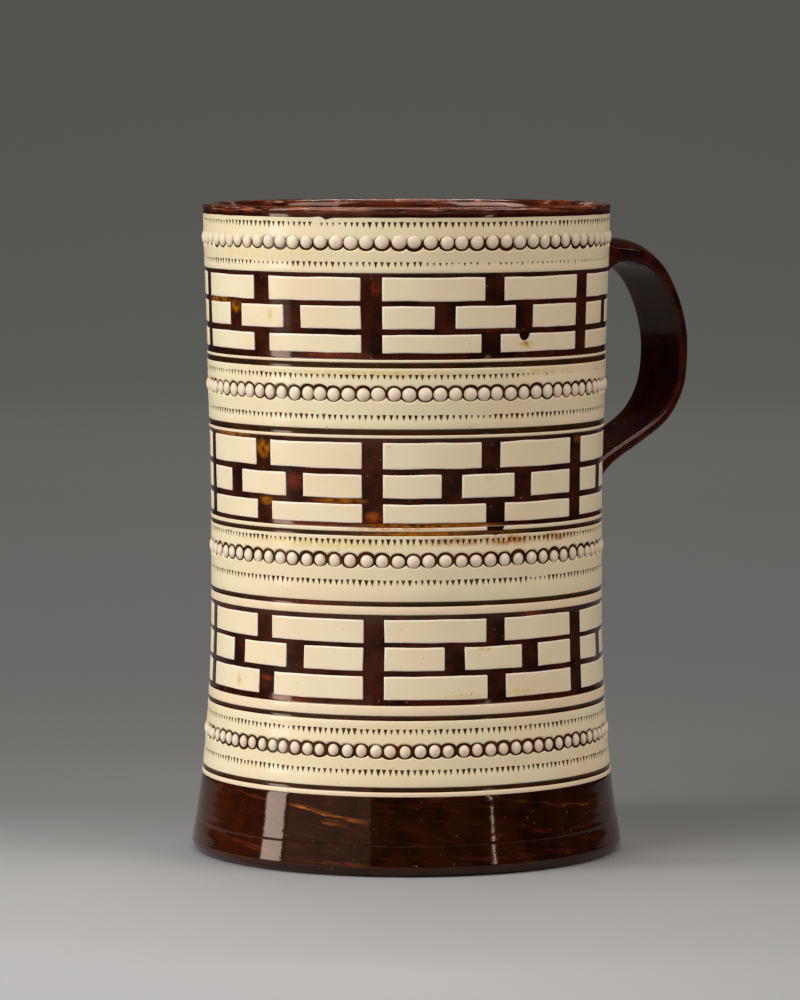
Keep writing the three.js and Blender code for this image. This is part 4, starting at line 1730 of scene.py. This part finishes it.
@dataclass(frozen=True)
class FootSlip(BrownSlip):
    """Brown slip brushed on the foot: slanting strokes, with thin orange streaks where the clay shows."""

    streak: str = "#A85A1C"
    fine_streak: str = "#5E2610"
    russet: str = "#3E1606"
    russet_rag: float = 5.0
    slant: float = 0.16
    brush_stretch: float = 10.0
    bristles: Mottle = Mottle(9.0, 0.56, 0.84, 0.0, 0.5, 4.0)
    stroke_breaks: Mottle = Mottle(9.0, 0.4, 0.56, 0.2, 1.0, 4.0)
    sway: Mottle = Mottle(6.0, 0.3, 0.7, -0.55 * MM, 0.55 * MM)
    seam_fade: Point = (178.0, 150.0)
    russet_spots: tuple[Spot, ...] = (Spot(-188.0, 9.0, 26.0, 13.0, 0.9), Spot(-60.0, 9.0, 16.0, 12.0, 0.3),
                                      Spot(60.0, 9.0, 26.0, 12.0, 0.7))
    strokes: tuple[Stroke, ...] = (
        Stroke((20.0, 16.0), (46.0, 11.9), 0.5, 1.0), Stroke((31.0, 12.7), (40.0, 11.4), 0.4, 0.5),
        Stroke((76.0, 18.1), (102.0, 14.2), 0.14, 0.5), Stroke((98.0, 14.6), (136.0, 11.7), 0.15, 0.4),
        Stroke((-120.0, 15.0), (-90.0, 11.5), 0.45, 0.9),
    )
    faint_strokes: tuple[Stroke, ...] = (
        Stroke((-14.0, 17.6), (16.0, 16.2), 0.3, 0.9), Stroke((2.0, 16.8), (24.0, 15.2), 0.35, 0.9),
        Stroke((-12.0, 7.4), (30.0, 3.1), 0.4, 0.8), Stroke((26.0, 3.4), (54.0, 2.3), 0.35, 0.7),
        Stroke((84.0, 9.4), (120.0, 8.2), 0.2, 0.5), Stroke((66.0, 4.2), (118.0, 3.4), 0.2, 0.5),
        Stroke((-170.0, 6.0), (-130.0, 2.5), 0.4, 0.8), Stroke((-80.0, 16.0), (-40.0, 12.0), 0.3, 0.8),
    )

    def colour(self, tree: Tree, place: Socket) -> Socket:
        """Give the foot's colour: mottling under long slanting streaks.

        Args:
            tree: The material's tree.
            place: Object coordinates.

        Returns:
            The colour.
        """
        axes = add_node(tree, "SeparateXYZ", {0: place})
        behind, beside = (add_node(tree, "Math", {0: axes.outputs[axis], 1: -1.0}, operation="MULTIPLY")
                          for axis in "XY")
        turned = add_node(tree, "Math", {0: beside, 1: behind}, operation="ARCTAN2").outputs[0]
        plan = {0: axes.outputs["X"], 1: axes.outputs["Y"]}
        around = add_node(tree, "Math", {0: turned, 1: WALL_RADIUS * self.slant * MM, 2: axes.outputs["Z"]},
                          operation="MULTIPLY_ADD")
        tall = add_node(tree, "Math", {0: around, 1: self.brush_stretch}, operation="MULTIPLY")
        brushed = add_node(tree, "CombineXYZ", plan | {2: tall}).outputs[0]
        away = add_node(tree, "Math", {0: turned}, operation="ABSOLUTE")
        seam, clear = (math.radians(degrees) for degrees in self.seam_fade)
        front = add_node(tree, "MapRange", {0: away, 1: seam, 2: clear})
        bristles = mottle_mask(tree, brushed, self.bristles)
        faded = add_node(tree, "Math", {0: bristles, 1: front}, operation="MULTIPLY")
        sway = mottle_mask(tree, brushed, self.sway)
        level = add_node(tree, "Math", {0: axes.outputs["Z"], 1: sway}, operation="ADD").outputs[0]
        breaks = mottle_mask(tree, brushed, self.stroke_breaks)
        layers = [(spot_mask(tree, place, self.russet_spots, self.russet_rag), self.russet),
                  (faded, self.fine_streak)]
        for strokes, tone in ((self.faint_strokes, self.fine_streak), (self.strokes, self.streak)):
            for stroke in strokes:
                whole = self.stroke_mask(tree, turned, level, stroke)
                layers.append((add_node(tree, "Math", {0: whole, 1: breaks}, operation="MULTIPLY"), tone))
        return lay_colours(tree, super().colour(tree, place), layers)

    @staticmethod
    def stroke_mask(tree: Tree, turned: Socket, level: Socket, stroke: Stroke) -> Node:
        """Mask one stroke, which fades towards both its ends.

        Args:
            tree: The material's tree.
            turned: Plan angle from opposite the handle, in radians.
            level: Level, swayed a little.
            stroke: The stroke.

        Returns:
            The node that gives the mask.
        """
        first, last = math.radians(stroke.start[0]), math.radians(stroke.end[0])
        fade = (last - first) * 0.2
        line = add_node(tree, "MapRange", {0: turned, 1: first, 2: last,
                                           3: stroke.start[1] * MM, 4: stroke.end[1] * MM})
        gap = add_node(tree, "Math", {0: level, 1: line}, operation="SUBTRACT")
        off = add_node(tree, "Math", {0: gap}, operation="ABSOLUTE")
        near = add_node(tree, "MapRange", {0: off, 1: stroke.half_width * MM, 2: 0.0,
                                           3: 0.0, 4: stroke.strength * 1.4})
        begun = add_node(tree, "MapRange", {0: turned, 1: first, 2: first + fade})
        ended = add_node(tree, "MapRange", {0: turned, 1: last, 2: last - fade * 2.0})
        ends = add_node(tree, "Math", {0: begun, 1: ended}, operation="MULTIPLY")
        mask = add_node(tree, "Math", {0: near, 1: ends}, operation="MULTIPLY")
        return add_node(tree, "Math", {0: mask, 1: 1.0}, operation="MINIMUM")


@dataclass(frozen=True)
class RimSlip(BrownSlip):
    """Brown slip on the lip: streaks that run round it, orange along the crest where worn and as painted
    highlight, painted pink highlights on the crest, and painted shade in the hollow below it.
    """

    # Orange along the crest is partly slip worn thin, partly painted highlight; pale pink along the crest is
    # painted highlight.
    wear_and_highlight: str = "#96502A"
    pale: str = "#C08C78"
    # Painted shade: the dark band in the hollow under the lip.
    dark: str = "#250905"
    crest: Point = (150.6, 151.2)
    painted_shade_band: Point = (150.55, 150.1)
    painted_shade_strength: float = 0.9
    outer_shell: Point = (46.0, 46.6)
    streak_stretch: float = 14.0
    wear_and_highlight_rag: float = 6.0
    wear_and_highlight_streaks: Mottle = Mottle(8.0, 0.48, 0.6, detail=4.0)
    highlight_veins: Mottle = Mottle(5.0, 0.56, 0.68, 0.0, 0.7)
    wear_and_highlight_spots: tuple[Spot, ...] = (Spot(-172.0, 151.6, 42.0, 3.0, 1.0), Spot(-72.0, 151.6, 20.0, 3.0, 0.8),
                                    Spot(70.0, 151.6, 34.0, 3.0, 0.15), Spot(-118.0, 151.6, 22.0, 3.0, 0.45))

    def colour(self, tree: Tree, place: Socket) -> Socket:
        """Give the lip's colour: painted shade in a dark lower band, orange streaks along the crest that are
        partly wear and partly painted highlight, and painted pink highlights on the crest.

        Args:
            tree: The material's tree.
            place: Object coordinates.

        Returns:
            The colour.
        """
        axes = add_node(tree, "SeparateXYZ", {0: place})
        plan = {0: axes.outputs["X"], 1: axes.outputs["Y"]}
        out = add_node(tree, "CombineXYZ", plan)
        radial = add_node(tree, "VectorMath", {0: out}, operation="LENGTH").outputs["Value"]
        profile = add_node(tree, "Math", {0: axes.outputs["Z"], 1: radial}, operation="SUBTRACT")
        across = add_node(tree, "Math", {0: profile, 1: self.streak_stretch}, operation="MULTIPLY")
        drawn = add_node(tree, "CombineXYZ", plan | {2: across}).outputs[0]
        # Painted highlights along the crest: orange streaks, partly wear, and pale pink veins.
        high = add_node(tree, "MapRange", {0: axes.outputs["Z"], 1: self.crest[0] * MM,
                                           2: self.crest[1] * MM})
        streaks = mottle_mask(tree, drawn, self.wear_and_highlight_streaks)
        crest_streaks = add_node(tree, "Math", {0: high, 1: streaks}, operation="MULTIPLY")
        where = spot_mask(tree, place, self.wear_and_highlight_spots, self.wear_and_highlight_rag)
        wear_and_highlight = add_node(tree, "Math", {0: crest_streaks, 1: where}, operation="MULTIPLY")
        highlight_veins = mottle_mask(tree, drawn, self.highlight_veins)
        pale = add_node(tree, "Math", {0: high, 1: highlight_veins}, operation="MULTIPLY")
        # Painted shade, darker down the hollow under the lip on its outer side.
        low = add_node(tree, "MapRange", {0: axes.outputs["Z"], 1: self.painted_shade_band[0] * MM,
                                          2: self.painted_shade_band[1] * MM, 3: 0.0, 4: self.painted_shade_strength})
        shell = add_node(tree, "MapRange", {0: radial, 1: self.outer_shell[0] * MM,
                                            2: self.outer_shell[1] * MM})
        outside = add_node(tree, "Math", {0: low, 1: shell}, operation="MULTIPLY")
        return lay_colours(tree, super().colour(tree, place),
                           ((wear_and_highlight, self.wear_and_highlight), (pale, self.pale), (outside, self.dark)))


@dataclass(frozen=True)
class HandleSlip(BrownSlip):
    """Brown slip on the strap: drawn out along it, redder on the edges, scuffed orange at the root."""

    edge_red: str = "#421711"
    scuff: str = "#A8622E"
    streak_stretch: tuple[float, float, float] = (9.0, 4.5, 1.0)
    streak_scale: float = 1.6
    root_share: Point = (0.14, 0.06)
    rubs: Mottle = Mottle(1.6, 0.6, 0.7, 0.0, 0.8, 2.0)

    def colour(self, tree: Tree, place: Socket) -> Socket:
        """Give the strap's colour, with streaks that follow it.

        Args:
            tree: The material's tree.
            place: Object coordinates.

        Returns:
            The colour.
        """
        along, across = (add_node(tree, "Attribute", attribute_name=name).outputs["Fac"]
                         for name in ("along", "across"))
        drawn = add_node(tree, "CombineXYZ", {0: along, 1: across})
        stretched = add_node(tree, "VectorMath", {0: drawn, 1: self.streak_stretch}, operation="MULTIPLY")
        streak = add_node(tree, "TexNoise", {"Vector": stretched, "Scale": self.streak_scale, "Detail": 4.0})
        some = add_node(tree, "MapRange", {0: streak, 1: 0.42, 2: 0.66})
        reach = add_node(tree, "Math", {0: across}, operation="ABSOLUTE")
        edge = add_node(tree, "MapRange", {0: reach, 1: 0.6, 2: 1.0, 3: 0.15, 4: 1.0})
        red = add_node(tree, "Math", {0: edge, 1: some}, operation="MULTIPLY")
        root = add_node(tree, "MapRange", {0: along, 1: self.root_share[0], 2: self.root_share[1]})
        rubs = mottle_mask(tree, place, self.rubs)
        scuffed = add_node(tree, "Math", {0: root, 1: rubs}, operation="MULTIPLY")
        return lay_colours(tree, super().colour(tree, place), ((red, self.edge_red), (scuffed, self.scuff)))


# Studio


@dataclass(frozen=True)
class Lamp:
    """A soft box: its plan angle in degrees, place, size, brightness, the level it faces and its tone."""

    name: str
    angle: float
    distance: float
    level: float
    width: float
    height: float
    brightness: float
    aim_level: float
    tone: str = "#FFFFFF"


@dataclass(frozen=True)
class Studio:
    """Plain floor and backdrop under a painted pool of light and painted shadow, soft light, and the camera
    at the mug's photographed angle.
    """

    lamps: tuple[Lamp, ...] = (
        Lamp("tall_softbox", 159.0, 1200.0, 740.0, 275.0, 1400.0, 6.8, 740.0, "#FFFCF6"),
        Lamp("thin_strip", -78.2, 1200.0, 480.0, 24.0, 700.0, 7.5, 480.0, "#FFF2EC"),
        Lamp("wide_reflector", -168.5, 1500.0, 700.0, 1326.0, 1300.0, 0.36, 700.0, "#FFEEDC"),
        Lamp("high_left_softbox", -178.0, 1260.0, 1130.0, 1000.0, 1000.0, 5.8, 110.0),
        Lamp("high_right_softbox", -60.0, 1260.0, 1130.0, 1000.0, 1000.0, 4.65, 110.0, "#FFF4EC"),
    )
    overhead_level: float = 1400.0
    overhead_size: float = 900.0
    overhead_brightness: float = 1.5
    backdrop_place: tuple[float, float, float] = (574.0, 819.0, 1500.0)
    backdrop_aim: tuple[float, float, float] = (0.746, 1.065, -1.4)
    backdrop_width: float = 900.0
    backdrop_depth: float = 500.0
    backdrop_brightness: float = 21.0
    floor_radii: tuple[float, ...] = (0.0, 120.0, 400.0, 900.0, 1700.0)
    sweep_radius: float = 900.0
    sweep_steps: int = 12
    sweep_turns: int = 128
    wall_height: float = 2600.0
    world_strength: float = 0.06
    # Painted pool of light: tones fall from pale under the mug to deeper grey far off; its middle sits left
    # of the mug, so the floor to its right is darker as a painted shadow of it.
    light_pool_centre: tuple[float, float, float] = (-209.0, -159.0, 0.0)
    light_pool_reach: float = 4000.0
    light_pool_tones: tuple[tuple[float, str], ...] = (
        (0.0, "#ACACAE"), (110.0, "#A9A9AA"), (228.0, "#959595"), (327.0, "#71716F"), (423.0, "#61615F"),
        (520.0, "#5A5A58"), (666.0, "#555554"), (1253.0, "#4F4F4C"), (1900.0, "#535350"), (3400.0, "#343432"),
    )
    paper_azimuth: float = 55.0
    paper_half_width: float = 400.0
    paper_start: float = -1150.0
    paper_fade: float = 80.0
    paper_roughness: float = 0.75
    paper_shine: float = 0.3
    room_tone: str = "#171614"
    camera_place: tuple[float, float, float] = (-682.07, -971.41, 179.27)
    camera_tilt: float = 85.316
    camera_azimuth: float = -35.0
    camera_lens: float = 181.9

    def add_lamp(self, lamp: Lamp) -> None:
        """Add a soft box that faces the mug's axis."""
        turned = math.radians(lamp.angle)
        place = Vector((lamp.distance * math.cos(turned), lamp.distance * math.sin(turned), lamp.level)) * MM
        aim = Vector((0.0, 0.0, lamp.aim_level * MM)) - place
        self.add_area(lamp.name, place, aim, (lamp.width, lamp.height), lamp.brightness, lamp.tone)

    @staticmethod
    def add_area(name: str, place: Vector, aim: Vector, size: Point, brightness: float,
                 tone: str = "#FFFFFF") -> None:
        """Add a rectangular lamp.

        Args:
            name: Name of the lamp.
            place: Its middle, in metres.
            aim: The direction that it faces.
            size: Its width and height.
            brightness: Radiance of its face, where 1 shows as white.
            tone: Its colour.
        """
        light = bpy.data.lights.new(name, "AREA")
        light.shape = "RECTANGLE"
        light.size, light.size_y = size[0] * MM, size[1] * MM
        light.energy = brightness * math.pi * light.size * light.size_y
        light.color = to_linear(tone)[:3]
        holder = bpy.data.objects.new(name, light)
        holder.location = place
        holder.rotation_euler = aim.to_track_quat("-Z", "Y").to_euler()
        holder.visible_camera = False
        bpy.context.scene.collection.objects.link(holder)

    def add_sweep(self) -> None:
        """Turn the floor and the backdrop that rises round it, whose material paints a pool of light: pale
        near the mug and darker far off.
        """
        points = [(radius, 0.0) for radius in self.floor_radii]
        for step in range(1, self.sweep_steps + 1):
            bend = math.pi / 2.0 * step / self.sweep_steps
            points.append((self.floor_radii[-1] + self.sweep_radius * math.sin(bend),
                           self.sweep_radius * (1.0 - math.cos(bend))))
        points.append((points[-1][0], self.wall_height))
        sweep = turn("studio_sweep", points, self.sweep_turns, inside=True)
        shade_smooth(sweep)
        sweep.data.materials.append(self.sweep_material())

    def sweep_material(self) -> Material:
        """Make the matt paper of the sweep: a painted pool of light, pale under the mug and falling to a
        deeper grey, centred in front of the mug and to its left so that the floor to its right is darker as a
        painted shadow.
        """
        material, tree = new_material("matt_backdrop_paper")
        place = add_node(tree, "TexCoord").outputs["Object"]
        # Painted pool of light and painted shadow of the mug, by distance from the pool's middle.
        centre = tuple(value * MM for value in self.light_pool_centre)
        far = add_node(tree, "VectorMath", {0: place, 1: centre}, operation="DISTANCE").outputs["Value"]
        share = add_node(tree, "Math", {0: far, 1: 1.0 / (self.light_pool_reach * MM)}, operation="MULTIPLY")
        tones = add_node(tree, "ValToRGB", {0: share},
                         [(radius / self.light_pool_reach, tone) for radius, tone in self.light_pool_tones])
        turned = math.radians(self.paper_azimuth)
        ahead, beside = (
            add_node(tree, "VectorMath", {0: place, 1: way}, operation="DOT_PRODUCT").outputs["Value"]
            for way in ((math.cos(turned), math.sin(turned), 0.0),
                        (math.sin(turned), -math.cos(turned), 0.0)))
        aside = add_node(tree, "Math", {0: beside}, operation="ABSOLUTE")
        side = add_node(tree, "MapRange", {0: aside, 1: self.paper_half_width * MM,
                                           2: (self.paper_half_width + self.paper_fade) * MM})
        before = add_node(tree, "MapRange", {0: ahead, 1: self.paper_start * MM,
                                             2: (self.paper_start - self.paper_fade) * MM})
        room = add_node(tree, "Math", {0: side, 1: before}, operation="MAXIMUM")
        colour = lay_colours(tree, tones.outputs[0], [(room, self.room_tone)])
        shader = add_node(tree, "BsdfPrincipled", {"Base Color": colour, "Roughness": self.paper_roughness,
                                                   "Specular IOR Level": self.paper_shine})
        add_node(tree, "OutputMaterial", {"Surface": shader})
        return material

    def add_camera(self) -> None:
        """Place the camera at the photographed angle."""
        lens = bpy.data.cameras.new("camera")
        lens.lens = self.camera_lens
        lens.sensor_width = 36.0
        camera = bpy.data.objects.new("camera", lens)
        camera.location = Vector(self.camera_place) * MM
        camera.rotation_euler = (math.radians(self.camera_tilt), 0.0, math.radians(self.camera_azimuth))
        bpy.context.scene.collection.objects.link(camera)
        bpy.context.scene.camera = camera

    def build(self) -> None:
        """Light the scene, lay the sweep and place the camera."""
        self.add_camera()
        self.add_sweep()
        for lamp in self.lamps:
            self.add_lamp(lamp)
        overhead = Vector((0.0, 0.0, self.overhead_level * MM))
        self.add_area("overhead_softbox", overhead, Vector((0.0, 0.0, -1.0)),
                      (self.overhead_size, self.overhead_size), self.overhead_brightness)
        self.add_area("backdrop_softbox", Vector(self.backdrop_place) * MM, Vector(self.backdrop_aim),
                      (self.backdrop_width, self.backdrop_depth), self.backdrop_brightness)
        world = bpy.data.worlds.new("studio_air")
        world.use_nodes = True
        background = world.node_tree.nodes["Background"]
        background.inputs["Color"].default_value = to_linear("#FFFFFF")
        background.inputs["Strength"].default_value = self.world_strength
        bpy.context.scene.world = world
        bpy.context.scene.view_settings.view_transform = "Standard"


# Assembly


class Mug:
    """The whole mug: its pieces, their finishes and the CAD nodes that they stand for."""

    def __init__(self) -> None:
        """Make the finishes and read the levels."""
        self.wall = Wall()
        self.bands = Bands()
        self.cream = CreamGlaze("lead_glazed_creamware", 0.4, 0.35, bead_levels=self.bands.row_centres(),
                                ridges=self.bands.ridges(), height=self.bands.lip_top()).build()
        self.white = BeadGlaze("glazed_white_beads", 0.42, 0.3, 0.16, swell_height=0.02).build()
        self.brown = BrownSlip("glazed_brown_slip", 0.1, amber_spots=NET_AMBER, red_spots=NET_RED).build()
        self.line_brown = BrownSlip("glazed_line_slip", 0.12, deep="#2A1A0A", warm="#3C220C", thin="#5E2A12",
                                    amber_spots=NET_AMBER, red_spots=NET_RED).build()
        self.dish_brown = BrownSlip("glazed_slip_in_dishes", 0.2, shine=0.35, deep="#2B1609",
                                    warm="#46220F", thin="#7A2814", patch_pitch=4.0).build()
        self.tick_olive = BrownSlip("glazed_slip_in_ticks", 0.3, shine=0.2, deep="#33230F",
                                    warm="#553C1A", thin="#8A6A36", patch_pitch=3.0).build()
        self.foot_brown = FootSlip("brushed_foot_slip", 0.06, peel_height=0.012,
                                   deep="#1B0A04", warm="#2B1107").build()
        self.rim_brown = RimSlip("dipped_rim_slip", 0.1, deep="#2E0E07", warm="#54200F").build()
        self.handle_brown = HandleSlip("dipped_handle_slip", 0.1, shine=0.4,
                                       deep="#1C0907", warm="#35120D").build()

    def place(self, piece: Piece, material: Material, slot: Slot, *nodes: str) -> None:
        """Dress a piece, let it ride on the mug, and hide the CAD nodes that it replaces.

        Args:
            piece: The finished piece.
            material: Its material.
            slot: The record's slot for its finish; not used.
            nodes: The CAD nodes that it replaces.
        """
        piece.data.materials.clear()
        piece.data.materials.append(material)
        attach(piece, BODY)
        if nodes:
            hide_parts(*nodes)
        log.info("%s: %d faces", piece.name, len(piece.data.polygons))

    def build_body(self) -> None:
        """Build the clay body and the handle."""
        self.place(ClayBody(self.wall, self.bands).build(), self.cream, Slot.CREAM, "body")
        self.place(StrapHandle(self.wall, self.bands).build(), self.handle_brown, Slot.HANDLE, "handle")

    def build_bricks(self) -> None:
        """Build the three fields of bricks and the slip round them."""
        for plan, span in zip(FIELD_PLANS, self.bands.fields()):
            field = BrickField(self.wall, plan, span)
            self.place(field.bricks(), self.cream, Slot.CREAM)
            self.place(field.slip(), self.brown, Slot.BROWN, f"brick_slip_{plan.name}")

    def build_slip(self) -> None:
        """Build the coats of slip and the slip lines."""
        coats = SlipCoats(self.wall, self.bands)
        self.place(coats.foot(), self.foot_brown, Slot.BROWN, "foot_slip")
        self.place(coats.rim(), self.rim_brown, Slot.BROWN, "rim_slip")
        for index in range(self.bands.line_count):
            self.place(coats.line(index), self.line_brown, Slot.BROWN, f"line_slip_{index + 1}")
        self.place(coats.runs(), self.brown, Slot.BROWN)

    def build_beads(self) -> None:
        """Build the bead rows, and the slip in their dishes and in the ticks."""
        strings = BeadString(self.wall, self.bands)
        for index in range(self.bands.row_count):
            self.place(strings.beads(index), self.white, Slot.BEAD, f"bead_row_{index + 1}")
        for moat in strings.moats():
            self.place(moat, self.dish_brown, Slot.BROWN)
        self.place(strings.tick_slip(), self.tick_olive, Slot.BROWN)

    def build(self) -> None:
        """Build every piece of the mug."""
        self.build_body()
        self.build_bricks()
        self.build_slip()
        self.build_beads()


def main() -> None:
    """Build the studio and the mug."""
    logging.basicConfig(level=logging.INFO, format="%(relativeCreated)6d ms  %(message)s")
    noise.seed_set(NOISE_SEED)
    Studio().build()
    Mug().build()


if __name__ == "__main__":
    main()
